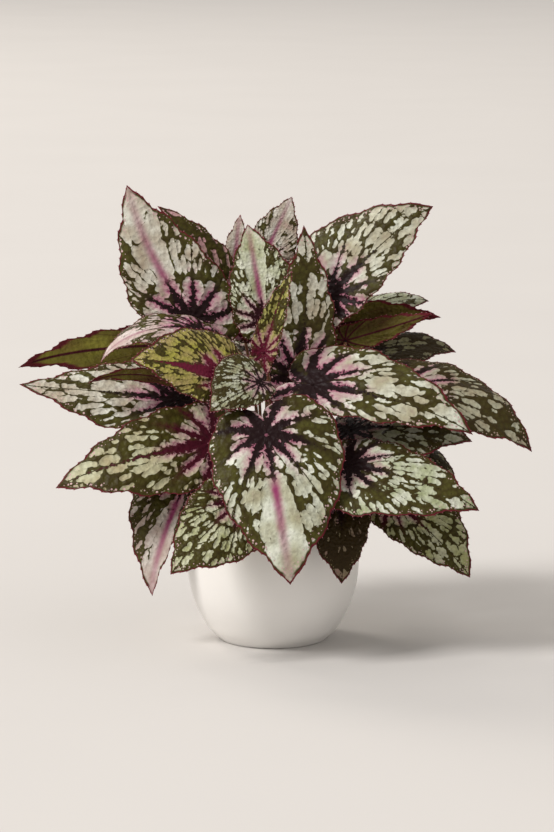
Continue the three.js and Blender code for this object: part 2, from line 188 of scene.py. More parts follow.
SPECK_CHANCE = 0.2
SPECK_EDGE = (-0.02, 0.06)

# %% Pattern fields
def oval_edge(tree, f, ovals, width):
    """How far a place is inside the silver ovals, in lane widths."""
    lanes, rows = ovals
    x = add(tree, MATH, [f["vein"], lanes, OVAL_SCATTER / 2 - 0.5], **TIMES_PLUS)
    own = add(tree, MATH, [f["number"], OVAL_OWN_SHIFT], **TIMES)
    y = add(tree, MATH, [f["radius"], rows, own], **TIMES_PLUS)
    place = add(tree, COMBINE, [x, y, 0.0])
    place = add(tree, VECTOR_MATH, [f["crinkle"], (OVAL_CRINKLE,) * 3, place], **TIMES_PLUS)
    cell = add(tree, VORONOI, {"Vector": place, "Scale": 1.0, "Randomness": OVAL_SCATTER}, **FLAT_CELLS)
    chance = add(tree, SEPARATE, [cell.outputs["Color"]], output=None).outputs[0]
    width = add(tree, MATH, [chance, OVAL_CHANCE, width], **TIMES_PLUS)
    return add(tree, MATH, [width, cell.outputs["Distance"]], **MINUS)


def leaf_pattern(tree):
    """The fields that both sides of a blade are painted with."""
    names = ("leaf_polar", "leaf_plane", "leaf_look", "leaf_star")
    vectors = [add(tree, ATTRIBUTE, attribute_name=name, output=1) for name in names]
    parts = [add(tree, SEPARATE, [vector], output=None).outputs for vector in vectors]
    f = dict(zip(("vein", "radius", "share"), parts[0]))
    f.update(zip(("along", "out", "number"), parts[1]))
    f.update(zip(("silver", "pink", "light_and_shade"), parts[2]))
    f.update(zip(("band", "star_reach", "star_size"), parts[3]))
    f["plane"] = vectors[1]
    f["out_size"] = add(tree, MATH, [f["out"]], operation="ABSOLUTE")
    f["vein_size"] = add(tree, MATH, [f["vein"]], operation="ABSOLUTE")

    for name, noise in (("ragged", RAGGED), ("patchy", PATCHY)):
        f[name] = add(tree, MATH, [add(tree, NOISE, [f["plane"], None, *noise]), 0.5], **MINUS)
    crinkle = add(tree, NOISE, [f["plane"], None, *CRINKLE], output=1)
    f["crinkle"] = add(tree, VECTOR_MATH, [crinkle, (0.5,) * 3], **MINUS)

    # how far the nearest primary vein is, in blade lengths
    beside = add(tree, MATH, [f["vein"], 0.5], **FOLDED)
    beside = add(tree, MATH, [beside, VEIN_ANGLE], **TIMES)
    f["beside"] = add(tree, MATH, [beside, f["radius"]], **TIMES)

    # the dark star over the veins narrows outwards; its arm on the midrib has its own reach
    on_midrib = add(tree, RANGE, [f["vein_size"], *ON_MIDRIB])
    others = add(tree, MATH, [f["patchy"], *ARM_REACH], **TIMES_PLUS)
    reach = add(tree, MIX, [on_midrib, None, others, f["star_reach"]])
    arm = add(tree, RANGE, [f["radius"], 0.0, reach, f["star_size"], ARM_END])
    arm = add(tree, MATH, [f["ragged"], ARM_RAGGED, arm], **TIMES_PLUS)
    f["past_arm"] = add(tree, MATH, [f["beside"], arm], **MINUS)
    f["star"] = add(tree, RANGE, [f["past_arm"], *ARM_EDGE], **SMOOTH)

    # the ovals are wide in the middle of the blade and narrow in the border and by the star
    width = add(tree, RANGE, [f["share"], *OVAL_WIDTHS], **SMOOTH)
    at_tip = add(tree, RANGE, [f["along"], *WIDER_AT_TIP], **SMOOTH)
    width = add(tree, MATH, [width, at_tip], **PLUS)
    width = add(tree, MATH, [f["silver"], WIDER_BY_SILVER, width], **TIMES_PLUS)
    width = add(tree, MATH, [f["patchy"], WIDER_BY_PATCHY, width], **TIMES_PLUS)
    by_star = add(tree, RANGE, [f["past_arm"], *NARROWER_BY_STAR], **SMOOTH)
    width = add(tree, MATH, [width, by_star], **MINUS)
    # on some leaves the two lanes beside the midrib are a whole silver band
    banded = add(tree, RANGE, [f["vein_size"], *BAND_LANES], **SMOOTH)
    banded = add(tree, MATH, [banded, f["band"]], **TIMES)
    past_reach = add(tree, MATH, [f["along"], f["star_reach"]], **MINUS)
    f["beyond"] = add(tree, RANGE, [past_reach, *BAND_START], **SMOOTH)
    banded = add(tree, MATH, [banded, f["beyond"]], **TIMES)
    width = add(tree, MATH, [banded, WIDER_BY_BAND, width], **TIMES_PLUS)
    width = add(tree, MATH, [banded, by_star, width], **TIMES_PLUS)
    f["star"] = add(tree, MATH, [f["star"], banded], **MINUS, **CLAMPED)

    # two ovals side by side between the veins near the joint, and five farther out
    near_width = add(tree, RANGE, [f["radius"], *NEAR_OVALS_FADE], **SMOOTH)
    near = oval_edge(tree, f, NEAR_OVALS, add(tree, MATH, [width, near_width], **MINUS))
    far_width = add(tree, RANGE, [f["radius"], *FAR_OVALS_FADE], **SMOOTH)
    far = oval_edge(tree, f, FAR_OVALS, add(tree, MATH, [width, far_width], **MINUS))
    edge = add(tree, MATH, [near, far], **LARGER)
    small = add(tree, VORONOI, {"Vector": f["plane"], "Scale": SMALL_FIELDS}, **FLAT_CELLS)
    f["small"] = small.outputs["Distance"]
    edge = add(tree, MATH, [f["small"], SCALLOPS, edge], **TIMES_PLUS)
    patches = add(tree, RANGE, [edge, *PATCH_EDGE], **SMOOTH)
    f["dome"] = add(tree, RANGE, [edge, *DOME_EDGE], **SMOOTH)

    # a bare line runs on along each primary vein, and the margin is bare
    bare = add(tree, RANGE, [f["beside"], *BARE_VEIN], **SMOOTH)
    bare = add(tree, MATH, [bare, banded], **LARGER)
    inside = add(tree, RANGE, [f["share"], *BARE_MARGIN], **SMOOTH)
    keep = add(tree, MATH, [bare, inside], **TIMES)
    f["patches"] = add(tree, MATH, [patches, keep], **TIMES)

    # the magenta line on the midrib of a leaf with a band
    line = add(tree, MATH, [f["ragged"], LINE_RAGGED, f["out_size"]], **TIMES_PLUS)
    line = add(tree, RANGE, [line, *LINE_EDGE], **SMOOTH)
    line = add(tree, MATH, [line, f["beyond"]], **TIMES)
    line = add(tree, MATH, [line, f["band"]], **TIMES, **CLAMPED)
    f["patches"] = add(tree, MATH, [f["patches"], line], **LARGER)
    fading = add(tree, RANGE, [f["along"], *LINE_FADE])
    f["line"] = add(tree, MATH, [line, fading], **TIMES)

    # small round specks just inside the margin
    specks = add(tree, VORONOI, {"Vector": f["plane"], "Scale": SPECKS}, **FLAT_CELLS)
    chance = add(tree, SEPARATE, [specks.outputs["Color"]], output=None).outputs[0]
    outer = add(tree, RANGE, [f["share"], *SPECK_BORDER])
    size = add(tree, MATH, [chance, SPECK_CHANCE, outer], **TIMES_PLUS)
    edge = add(tree, MATH, [size, specks.outputs["Distance"]], **MINUS)
    specks = add(tree, RANGE, [edge, *SPECK_EDGE], **SMOOTH)
    f["specks"] = add(tree, MATH, [specks, inside], **TIMES)
    return f


# %% [markdown]
# ## The blade's upper side
# The silver is air under the skin of the leaf, so it is pale and pearly rather than metallic. It
# turns pink next to the star, and magenta along the midrib of some leaves. Light falls through the
# thin blade, so a Translucent shader is mixed in, and a leaf with the light behind it is painted
# yellower, while a leaf in shade is painted darker brown. The skin is satin, and each small field
# between the finest veins is a soft pebble.

# %% Colours of the upper side
LIGHT_SILVER = linear("#f1f4e6")
GREEN_SILVER = linear("#b4bd93")
PINK_SILVER = linear("#cc90a6")
MAGENTA = linear("#94305c")
LINE_MAGENTA = linear("#a04672")
BORDER_GREEN = linear("#555224")
BORDER_OLIVE = linear("#3d3316")
# dark brown: painted shade on a leaf in shade, and also the colour of the fine vein net
VEIN_AND_SHADE_BROWN = linear("#352611")
STAR = linear("#231214")
MARGIN_RED = linear("#682029")
SPECK = linear("#d8b6b4")
BACKLIT_GROUND = linear("#4a4318")
BACKLIT_SILVER = linear("#aca64c")
BACKLIT_STAR = linear("#6b1a33")
SHADED_SILVER = linear("#786e42")

# the first two are a factor and what is added to the product, and the rest are as above
MOTTLE = (2.5, 0.4)
GREEN_PATCHES = (3.0, 0.45)
NET = (0.25, 0.75, 0.0, 0.55)
INNER = (0.42, 0.22)
STAR_SHADE = (0.07, 0.0)
VEIL = (-0.05, 0.22, 0.0, 0.35)
FRINGE = (0.10, 0.0)
FRINGE_PINK = 0.7
PATCHY_PINK = 0.7
NO_PINK_BELOW = 0.25
CLOSE_TO_STAR = (0.036, 0.008)
MAGENTA_SHARE = (0.0, 0.6, 0.35, 1.0)
MARGIN_RAGGED = 0.02
MARGIN_EDGE = (0.978, 0.988)


# %% Blade, upper side
def leaf_colour(tree, f):
    """The upper side's colour, from the pattern fields."""
    # backlit and shaded are the shares of painted light from behind and of painted shade for the leaf
    backlit = add(tree, MATH, [f["light_and_shade"], -1.0], **TIMES, **CLAMPED)
    shaded = add(tree, MATH, [f["light_and_shade"], 1.0], **TIMES, **CLAMPED)

    mottle = add(tree, MATH, [f["patchy"], *MOTTLE], **TIMES_PLUS, **CLAMPED)
    net = add(tree, RANGE, [f["small"], *NET])
    # over the border green lie its olive mottle, the painted shade, the painted light from behind and
    # the fine vein net, which is drawn in the same dark brown as the painted shade
    ground = BORDER_GREEN
    for share, over in ((mottle, BORDER_OLIVE), (shaded, VEIN_AND_SHADE_BROWN),
                        (backlit, BACKLIT_GROUND), (net, VEIN_AND_SHADE_BROWN)):
        ground = add(tree, MIX, {0: share, 6: ground, 7: over}, **COLOUR)
    # the dark star is painted lighter and redder on a leaf lit from behind, as painted light
    dark_star = add(tree, MIX, {0: backlit, 6: STAR, 7: BACKLIT_STAR}, **COLOUR)
    # the ground darkens into the star near the joint and along the primary veins
    inner = add(tree, RANGE, [f["radius"], *INNER], **SMOOTH)
    near_star = add(tree, RANGE, [f["past_arm"], *STAR_SHADE], **SMOOTH)
    near_star = add(tree, MATH, [near_star, inner], **TIMES)
    near_star = add(tree, MATH, [near_star, f["star"]], **LARGER)
    ground = add(tree, MIX, {0: near_star, 6: ground, 7: dark_star}, **COLOUR)

    # the silver is greener in some places, veiled by the ground in others, and pink by the star
    green = add(tree, MATH, [f["patchy"], *GREEN_PATCHES], **TIMES_PLUS, **CLAMPED)
    veiled = add(tree, RANGE, [f["ragged"], *VEIL])
    fringe = add(tree, RANGE, [f["past_arm"], *FRINGE], **SMOOTH)
    fringe = add(tree, MATH, [fringe, inner], **TIMES)
    pink = add(tree, MATH, [f["pink"], NO_PINK_BELOW], **MINUS)
    pink = add(tree, MATH, [f["patchy"], PATCHY_PINK, pink], **TIMES_PLUS)
    pink = add(tree, MATH, [fringe, FRINGE_PINK, pink], **TIMES_PLUS, **CLAMPED)
    close = add(tree, RANGE, [f["past_arm"], *CLOSE_TO_STAR], **SMOOTH)
    close = add(tree, MATH, [close, inner], **TIMES)
    magenta_share = add(tree, RANGE, [f["pink"], *MAGENTA_SHARE])
    close = add(tree, MATH, [close, magenta_share], **TIMES)
    # the silver is painted yellower on a leaf lit from behind and darker on a leaf in shade
    silver = LIGHT_SILVER
    for share, over in ((green, GREEN_SILVER), (backlit, BACKLIT_SILVER), (shaded, SHADED_SILVER),
                        (veiled, ground), (pink, PINK_SILVER), (close, MAGENTA)):
        silver = add(tree, MIX, {0: share, 6: silver, 7: over}, **COLOUR)

    # patches, specks, the line and the margin lie over the ground in this order
    # the specks are painted darker on a leaf in shade
    speck_colour = add(tree, MIX, {0: shaded, 6: SPECK, 7: SHADED_SILVER}, **COLOUR)
    edge = add(tree, MATH, [f["ragged"], MARGIN_RAGGED, f["share"]], **TIMES_PLUS)
    edge = add(tree, RANGE, [edge, *MARGIN_EDGE], **SMOOTH)
    colour = ground
    for share, over in ((f["patches"], silver), (f["specks"], speck_colour),
                        (f["line"], LINE_MAGENTA), (edge, MARGIN_RED)):
        colour = add(tree, MIX, {0: share, 6: colour, 7: over}, **COLOUR)
    return colour


# %% Skin of the blade
PEBBLE_HEIGHT = -0.8
PATCH_HEIGHT = 1.6
SKIN_RELIEF = 0.9 * MM
PLANT_IOR = 1.45
SKIN_GLOSS = 0.16
UPPER_ROUGHNESS = 0.4
UPPER_LIGHT_THROUGH = 0.2


def blade_skin(tree, output, colour, f, roughness, light_through):
    """A satin skin of soft pebbles, which lets some of the light through."""
    height = add(tree, MATH, [f["small"], PEBBLE_HEIGHT, f["ragged"]], **TIMES_PLUS)
    height = add(tree, MATH, [f["dome"], PATCH_HEIGHT, height], **TIMES_PLUS)
    bump = add(tree, BUMP, {"Strength": 0.75, "Distance": SKIN_RELIEF, "Height": height})
    skin = add(tree, PRINCIPLED, {
        "Base Color": colour, "Roughness": roughness, "IOR": PLANT_IOR,
        "Specular IOR Level": SKIN_GLOSS, "Normal": bump})
    glow = add(tree, "ShaderNodeBsdfTranslucent", [colour])
    shader = add(tree, "ShaderNodeMixShader", [light_through, skin, glow])
    tree.links.new(shader, output.inputs["Surface"])


def make_upper_side():
    """Silver over green in a satin skin, with a soft sheen and no hard highlight."""
    material, tree, output = new_material("begonia_blade_upper_side")
    f = leaf_pattern(tree)
    blade_skin(tree, output, leaf_colour(tree, f), f, UPPER_ROUGHNESS, UPPER_LIGHT_THROUGH)
    return material


upper_side = make_upper_side()
print("nodes in the upper side:", len(upper_side.node_tree.nodes))

# %% [markdown]
# ## The blade's underside
# The underside is olive where the upper side is silver and red-brown where it is green. Its veins
# are raised and maroon, and they branch towards the margin.

# %% Blade, underside
UNDER_OLIVE = linear("#898436")
UNDER_BROWN = linear("#5f3b26")
UNDER_VEIN = linear("#4a101c")
UNDER_ROUGHNESS = 0.5
UNDER_LIGHT_THROUGH = 0.22

BRANCHES_TO_A_VEIN = 3.0
BRANCH_EDGE = (0.022, 0.006)
BRANCHES_START = (0.35, 0.6)
BRANCH_STRENGTH = 0.6
MAIN_VEIN_EDGE = (0.016, 0.005)
BROWN_PATCHES = 2.0
UNDER_SHADE = 0.8
UNDER_MARGIN_EDGE = (0.90, 0.95)


def make_underside():
    """Dull olive and brown with dark veins: rougher than the upper side, so it has no sheen."""
    material, tree, output = new_material("begonia_blade_underside")
    f = leaf_pattern(tree)
    branches = add(tree, MATH, [f["vein"], BRANCHES_TO_A_VEIN], **TIMES)
    branches = add(tree, MATH, [branches, 0.5], **FOLDED)
    branches = add(tree, MATH, [branches, f["radius"]], **TIMES)
    branches = add(tree, RANGE, [branches, *BRANCH_EDGE], **SMOOTH)
    outer = add(tree, RANGE, [f["share"], *BRANCHES_START], **SMOOTH)
    branches = add(tree, MATH, [branches, outer], **TIMES)
    main_veins = add(tree, RANGE, [f["beside"], *MAIN_VEIN_EDGE], **SMOOTH)
    veins = add(tree, MATH, [branches, BRANCH_STRENGTH, main_veins], **TIMES_PLUS, **CLAMPED)

    brown = add(tree, MATH, [f["patchy"], BROWN_PATCHES, f["pink"]], **TIMES_PLUS, **CLAMPED)
    # a leaf in shade has its underside painted darker brown: painted shade
    dark = add(tree, MATH, [f["light_and_shade"], UNDER_SHADE], **TIMES, **CLAMPED)
    edge = add(tree, RANGE, [f["share"], *UNDER_MARGIN_EDGE], **SMOOTH)
    colour = UNDER_OLIVE
    for share, over in ((brown, UNDER_BROWN), (dark, VEIN_AND_SHADE_BROWN), (veins, UNDER_VEIN),
                        (edge, MARGIN_RED)):
        colour = add(tree, MIX, {0: share, 6: colour, 7: over}, **COLOUR)
    blade_skin(tree, output, colour, f, UNDER_ROUGHNESS, UNDER_LIGHT_THROUGH)
    return material


underside = make_underside()

# %% [markdown]
# ## Stalks and hairs
# The stalks are red-brown, streaked with green along their length, and covered in soft pale hairs.
# The streaks are a noise that is stretched along the stalk by its own coordinates.

# %% Stalk and hair materials
STALK_RED = linear("#74372c")
STALK_GREEN = linear("#7f6a3c")
STREAK_LENGTHS = 14.0
STREAKS = (2.2, 3.0, 0.6)
STREAK_EDGE = (0.42, 0.62)
STALK_RELIEF = 0.3 * MM
HAIR_IOR = 1.5
# waves to a metre: a hair changes colour every 1.1 mm
HAIR_MOTTLE = (900.0,)


def mottled(tree, noise, first, second):
    """A colour that changes softly between two over the piece, and the noise that it follows."""
    place = add(tree, "ShaderNodeTexCoord", output=3)
    share = add(tree, NOISE, [place, None, *noise])
    return add(tree, MIX, {0: share, 6: first, 7: second}, **COLOUR), share


def make_stalk_skin():
    """A juicy stalk's smooth skin: satin red-brown with green streaks."""
    material, tree, output = new_material("begonia_stalk_skin")
    plane = add(tree, ATTRIBUTE, attribute_name="leaf_plane", output=1)
    along, around, _ = add(tree, SEPARATE, [plane], output=None).outputs
    along = add(tree, MATH, [along, STREAK_LENGTHS], **TIMES)
    streaks = add(tree, NOISE, [add(tree, COMBINE, [along, around, 0.0]), None, *STREAKS])
    share = add(tree, RANGE, [streaks, *STREAK_EDGE], **SMOOTH)
    colour = add(tree, MIX, {0: share, 6: STALK_RED, 7: STALK_GREEN}, **COLOUR)
    bump = add(tree, BUMP, {"Strength": 0.4, "Distance": STALK_RELIEF, "Height": streaks})
    skin = add(tree, PRINCIPLED, {
        "Base Color": colour, "Roughness": 0.45, "IOR": PLANT_IOR, "Normal": bump})
    tree.links.new(skin, output.inputs["Surface"])
    return material


def make_hair(name, root_colour, tip_colour):
    """A fine hair, a little lighter in some places than in others."""
    material, tree, output = new_material(name)
    colour, _ = mottled(tree, HAIR_MOTTLE, root_colour, tip_colour)
    skin = add(tree, PRINCIPLED, {"Base Color": colour, "Roughness": 0.5, "IOR": HAIR_IOR})
    tree.links.new(skin, output.inputs["Surface"])
    return material


stalk_skin = make_stalk_skin()
stalk_hair = make_hair("begonia_stalk_hair", linear("#b9786a"), linear("#e6cfc0"))
margin_hair = make_hair("begonia_margin_hair", linear("#8a2a3a"), linear("#d99aa4"))

# %% [markdown]
# ## The form of a leaf
# A blade is a curved sheet, which is easiest to describe from its midrib. The midrib runs from
# the joint to the tip in an arch. Out from it the blade rises a little, curls down again and
# waves. Its outline is two different halves, a wide one and a narrow one, with teeth. Each leaf
# has its own joint, tip and facing, and the same few numbers for its arch, fold and curl, so the
# whole plant is a table. Lengths in it are in millimetres and angles in degrees.

# %% The leaves
# joint and tip: the two ends of the midrib. face: the way the upper side looks. wide: the wider
# half, 1 on the right with the tip ahead and the upper side towards the eye, -1 on the left. left
# and right: how wide each half is. arch, fold, curl, sweep and nod: angles along the midrib, up
# from it, across the blade, sideways and at the tip. root: x and y in the soil. bend: pushes the
# stalk's middle.
# silver: more or less silver cover. pink: how pink the silver is. light_and_shade: the painted
# light and shade, where -1 is painted yellow-green as if the light were behind the leaf, and 1 is
# painted shade, dark brown. band: how whole the silver band beside the midrib is.
# reach and star: how far the star reaches along the midrib, and how wide it is, in blade lengths.
USUAL = dict(
    wide=1, left=1, right=1, arch=30, fold=8, curl=25, sweep=0, nod=20, bend=(0, 0, 0),
    silver=0, pink=0.3, light_and_shade=0, band=0, reach=0.5, star=0.03)
LEAVES = {
    "leaf_upper_left": dict(
        joint=(-64, 38, 248), tip=(-115, 60, 350), face=(0.05, -1, 0.15),
        left=0.85, right=0.8, arch=10, fold=4, curl=20, sweep=-25, root=(-20, 10), bend=(8, 0, 0),
        silver=0.02, pink=0.45, band=0.8, reach=0.34),
    "leaf_upper_left_behind": dict(
        joint=(-37, 63, 244), tip=(-92, 80, 331), face=(0.5, -0.9, 0.3),
        left=0.8, right=0.52, fold=14, sweep=30, root=(-14, 26), bend=(6, 0, 0),
        silver=-0.15, pink=0.9, light_and_shade=-0.7),
    "leaf_top_young": dict(
        joint=(-32, 88, 263), tip=(-26, 96, 323), face=(-0.2, -1, 0.2),
        left=0.62, right=0.62, arch=20, fold=10, root=(-8, 36),
        silver=0.3, pink=0.5, band=1, reach=0.2),
    "leaf_top_left": dict(
        joint=(-7, 30, 249), tip=(-20, 50, 320), face=(-0.05, -1, 0.35),
        left=0.95, arch=20, fold=14, root=(-4, 10),
        silver=0.06, pink=0.2, light_and_shade=-0.15, band=0.9, reach=0.25),
    "leaf_top_back": dict(
        joint=(-9, 74, 288), tip=(15, 88, 338), face=(0.1, -1, 0.5),
        left=0.95, right=0.9, arch=20, fold=10, root=(4, 26),
        silver=0.1, pink=0.5, band=0.8, reach=0.2),
    "leaf_top_right": dict(
        joint=(19, 22, 206), tip=(24, 36, 321), face=(0, -1, 0.15),
        left=0.6, right=0.5, arch=16, sweep=16, root=(10, 4),
        silver=-0.02, pink=0.4, light_and_shade=0.1),
    "leaf_young_folded": dict(
        joint=(-7, -8, 228), tip=(15, -2, 290), face=(-0.3, -1, 0.3),
        left=0.5, right=0.42, arch=20, fold=30, root=(-2, -4),
        silver=-0.04, pink=0.2, light_and_shade=-0.9, reach=0.9, star=0.012),
    "leaf_upper_right": dict(
        joint=(46, 36, 267), tip=(126, 58, 333), face=(0, -0.75, 0.75),
        wide=-1, left=1.12, right=0.75, arch=25, root=(20, 20), bend=(-16, 0, 0),
        pink=0.35, light_and_shade=0.1, reach=0.55),
    "leaf_right_thin": dict(
        joint=(63, 88, 242), tip=(125, 102, 252), face=(0.1, -0.45, 1),
        left=0.9, right=0.9, fold=6, root=(24, 34),
        silver=0.05, pink=0.2, light_and_shade=0.1),
    "leaf_right_turned_upper": dict(
        joint=(46, 50, 240), tip=(132, 44, 247), face=(-0.1, 0.9, 0.25),
        left=0.42, right=0.46, fold=12, root=(30, 28),
        pink=0.4, light_and_shade=0.5),
    "leaf_right_turned_lower": dict(
        joint=(57, 30, 231), tip=(124, 22, 254), face=(-0.1, 0.75, -0.3),
        left=0.42, right=0.4, arch=20, fold=20, root=(32, 12), bend=(4, 6, 0),
        pink=0.4, light_and_shade=0.6),
    "leaf_right_dark": dict(
        joint=(61, 60, 212), tip=(145, 64, 216), face=(0.1, -0.5, 1),
        left=0.85, right=0.85, arch=40, fold=10, root=(40, 22),
        silver=-0.25, pink=0.1, light_and_shade=0.8),
    "leaf_right_front": dict(
        joint=(31, -22, 204), tip=(152, -54, 170), face=(0.15, -0.72, 0.7),
        left=1, right=0.46, root=(18, -8),
        silver=0.04, pink=0.35, reach=0.6),
    "leaf_far_right": dict(
        joint=(100, 4, 197), tip=(200, -16, 150), face=(0.3, -0.6, 0.8),
        wide=-1, left=0.78, right=0.9, arch=35, fold=10, sweep=-18, root=(34, 0),
        silver=-0.12, light_and_shade=0.55),
    "leaf_right_under": dict(
        joint=(61, -10, 167), tip=(153, -34, 161), face=(0.1, -0.6, 0.9),
        left=0.8, right=1.05, root=(32, -12),
        pink=0.1, light_and_shade=0.5),
    "leaf_right_shaded": dict(
        joint=(83, 32, 145), tip=(144, 26, 119), face=(0.3, -0.5, 0.8),
        wide=-1, arch=40, root=(44, 10),
        silver=-0.2, pink=0.1, light_and_shade=0.8),
    "leaf_lower_right": dict(
        joint=(59, -56, 147), tip=(156, -80, 116), face=(0.2, -0.7, 0.7),
        left=0.82, right=0.95, fold=10, root=(28, -26),
        silver=-0.06, pink=0.1, light_and_shade=0.1, reach=0.4),
    "leaf_hanging_right": dict(
        joint=(94, -16, 112), tip=(152, -40, 56), face=(0.35, -0.9, 0.3),
        wide=-1, left=0.95, right=0.95, fold=18, root=(44, -8), bend=(0, 0, 22),
        silver=0.03, pink=0.15, light_and_shade=-0.45),
    "leaf_hanging_dark": dict(
        joint=(51, -55, 121), tip=(52, -80, 60), face=(0.2, -0.9, 0.3),
        arch=35, fold=12, root=(26, -38), bend=(0, 0, 12),
        silver=-0.35, pink=0.4, light_and_shade=0.9),
    "leaf_front": dict(
        joint=(-5, -74, 174), tip=(13, -110, 66), face=(0.05, -1, 0.32),
        wide=-1, left=1.1, right=1.15, arch=22, fold=6, root=(4, -28),
        band=1, reach=0.36),
    "leaf_front_left": dict(
        joint=(-27, -72, 122), tip=(-77, -108, 73), face=(-0.1, -1, 0.4),
        wide=-1, left=1.1, right=1.1, arch=25, root=(-14, -40), bend=(0, 0, 12),
        silver=-0.05, pink=0.15, light_and_shade=-0.35, reach=0.45),
    "leaf_hanging_left": dict(
        joint=(-64, -6, 131), tip=(-93, -36, 41), face=(-0.45, -0.8, 0.25),
        left=0.5, right=0.85, arch=35, fold=26, root=(-42, -6), bend=(0, 0, 12),
        silver=-0.1, pink=0.6, light_and_shade=0.2, band=1, reach=0.3),
    "leaf_left_front": dict(
        joint=(-48, -14, 157), tip=(-167, -34, 125), face=(-0.12, -0.85, 0.5),
        left=0.85, right=0.64, arch=35, root=(-30, -14),
        pink=0.35, light_and_shade=-0.45, reach=0.8),
    "leaf_left_silver": dict(
        joint=(-75, 22, 185), tip=(-199, 20, 197), face=(-0.05, -0.6, 0.85),
        wide=-1, left=0.76, right=0.9, arch=6, fold=10, nod=-10, root=(-38, 10),
        silver=0.08, pink=0.45, reach=0.6),
    "leaf_left_turned": dict(
        joint=(-70, 67, 222), tip=(-203, 75, 202), face=(-0.05, 0.9, 0.45),
        left=0.42, right=0.42, arch=25, fold=10, root=(-34, 30), bend=(0, 10, 0),
        pink=0.2, light_and_shade=-0.3),
    "leaf_left_arched": dict(
        joint=(-59, 6, 243), tip=(-133, -4, 218), face=(-0.2, -0.3, 0.9),
        left=0.85, right=0.85, arch=65, root=(-26, 2), bend=(0, 14, 0),
        pink=0.7, band=0.7),
    "leaf_left_light": dict(
        joint=(-37, -45, 213), tip=(-108, -62, 229), face=(-0.1, -0.8, 0.65),
        left=1, right=1.3, arch=25, fold=6, root=(-12, -14),
        silver=0.05, pink=0.35, light_and_shade=-1, reach=0.8, star=0.12),
    "leaf_left_narrow": dict(
        joint=(-61, -6, 201), tip=(-143, -14, 203), face=(-0.1, 0.5, 0.6),
        left=0.32, right=0.32, arch=40, fold=10, root=(-18, -3), bend=(6, 10, 36),
        pink=0.5, light_and_shade=0.3),
    "leaf_front_young": dict(
        joint=(-10, -52, 210), tip=(-48, -74, 191), face=(-0.1, -1, 0.45),
        left=0.9, right=1.6, root=(-4, -18),
        silver=-0.1, pink=0.2, light_and_shade=0.35, star=0.012),
    "leaf_back_top": dict(
        joint=(-8, 92, 210), tip=(0, 163, 230), face=(0, 0.2, 1),
        arch=35, fold=12, root=(6, 42), light_and_shade=0.1),
    "leaf_back_upper_1": dict(
        joint=(80, 54, 180), tip=(142, 103, 172), face=(0.4, 0.3, 1),
        arch=40, fold=12, root=(44, 30), light_and_shade=0.1),
    "leaf_back_upper_2": dict(
        joint=(31, 90, 183), tip=(71, 152, 198), face=(0.1, 0.3, 1),
        wide=-1, arch=40, fold=12, root=(28, 44), light_and_shade=0.1),
    "leaf_back_upper_3": dict(
        joint=(-28, 87, 184), tip=(-62, 154, 198), face=(-0.1, 0.3, 1),
        wide=-1, arch=40, fold=12, root=(-18, 42), light_and_shade=0.1),
    "leaf_back_upper_4": dict(
        joint=(-62, 60, 170), tip=(-127, 122, 164), face=(-0.4, 0.3, 1),
        arch=40, fold=12, root=(-38, 36), light_and_shade=0.1),
    "leaf_back_lower_1": dict(
        joint=(69, 61, 137), tip=(110, 102, 100), face=(0.7, 0.6, 1),
        wide=-1, arch=35, fold=12, root=(34, 34), light_and_shade=0.1),
    "leaf_back_lower_2": dict(
        joint=(9, 86, 138), tip=(20, 149, 104), face=(0.1, 0.9, 1),
        arch=35, fold=12, root=(8, 54), light_and_shade=0.1),
    "leaf_back_lower_3": dict(
        joint=(-35, 78, 138), tip=(-68, 134, 100), face=(-0.4, 0.8, 1),
        wide=-1, left=0.85, right=0.85, arch=35, fold=12, root=(-26, 46), light_and_shade=0.1),
    "leaf_back_lower_4": dict(
        joint=(-78, 37, 138), tip=(-138, 60, 108), face=(-0.8, 0.4, 1),
        arch=35, fold=12, root=(-48, 18), light_and_shade=0.1),
}
print("leaves:", len(LEAVES))

# %% [markdown]
# ## Blade and stalk as meshes
# NumPy works out all the points of a blade at once. The margin is scaled down towards the joint in
# rings, so the same rings carry the pattern's coordinates. The skin is then given its thickness
# along the normals. Between two veins the blade is puffed up a little, as quilting is.

# %% Blade outline
# how many teeth there are, how each is drawn, and over how much of a tooth they set in and end
TEETH_PER_SIDE = 7
STEPS_PER_TOOTH = 16
SMALL_TOOTH = (0, 0.45, 1, 0.1)
TEETH_SET_IN = 0.8
TEETH_END = 0.7
# in blade lengths
TOOTH_HEIGHT = 0.012
SMALL_TOOTH_HEIGHT = 0.006
MIDRIB_START = -0.4
MIDRIB_POINTS = 281
SHOULDER = 0.65
FOLD_WITHIN = 0.05
CURL_OVER = 0.45
WAVE_HEIGHT = 0.012
WAVES_ROUND_BLADE = 7
WAVE_FULL_AT = 0.5
WAVE_LIMIT = 1.2
QUILT_HEIGHT = 0.011
QUILT_FULL_AT = 0.3
# shares of the way to the margin, and how far the veins lean towards the tip on that way
QUILT_FLAT_BORDER = 0.15
THIN_BORDER = 0.1
VEIN_LEAN = 0.35
# in millimetres
BLADE_HALF_THICKNESS = 0.32
MARGIN_HALF_THICKNESS = 0.14
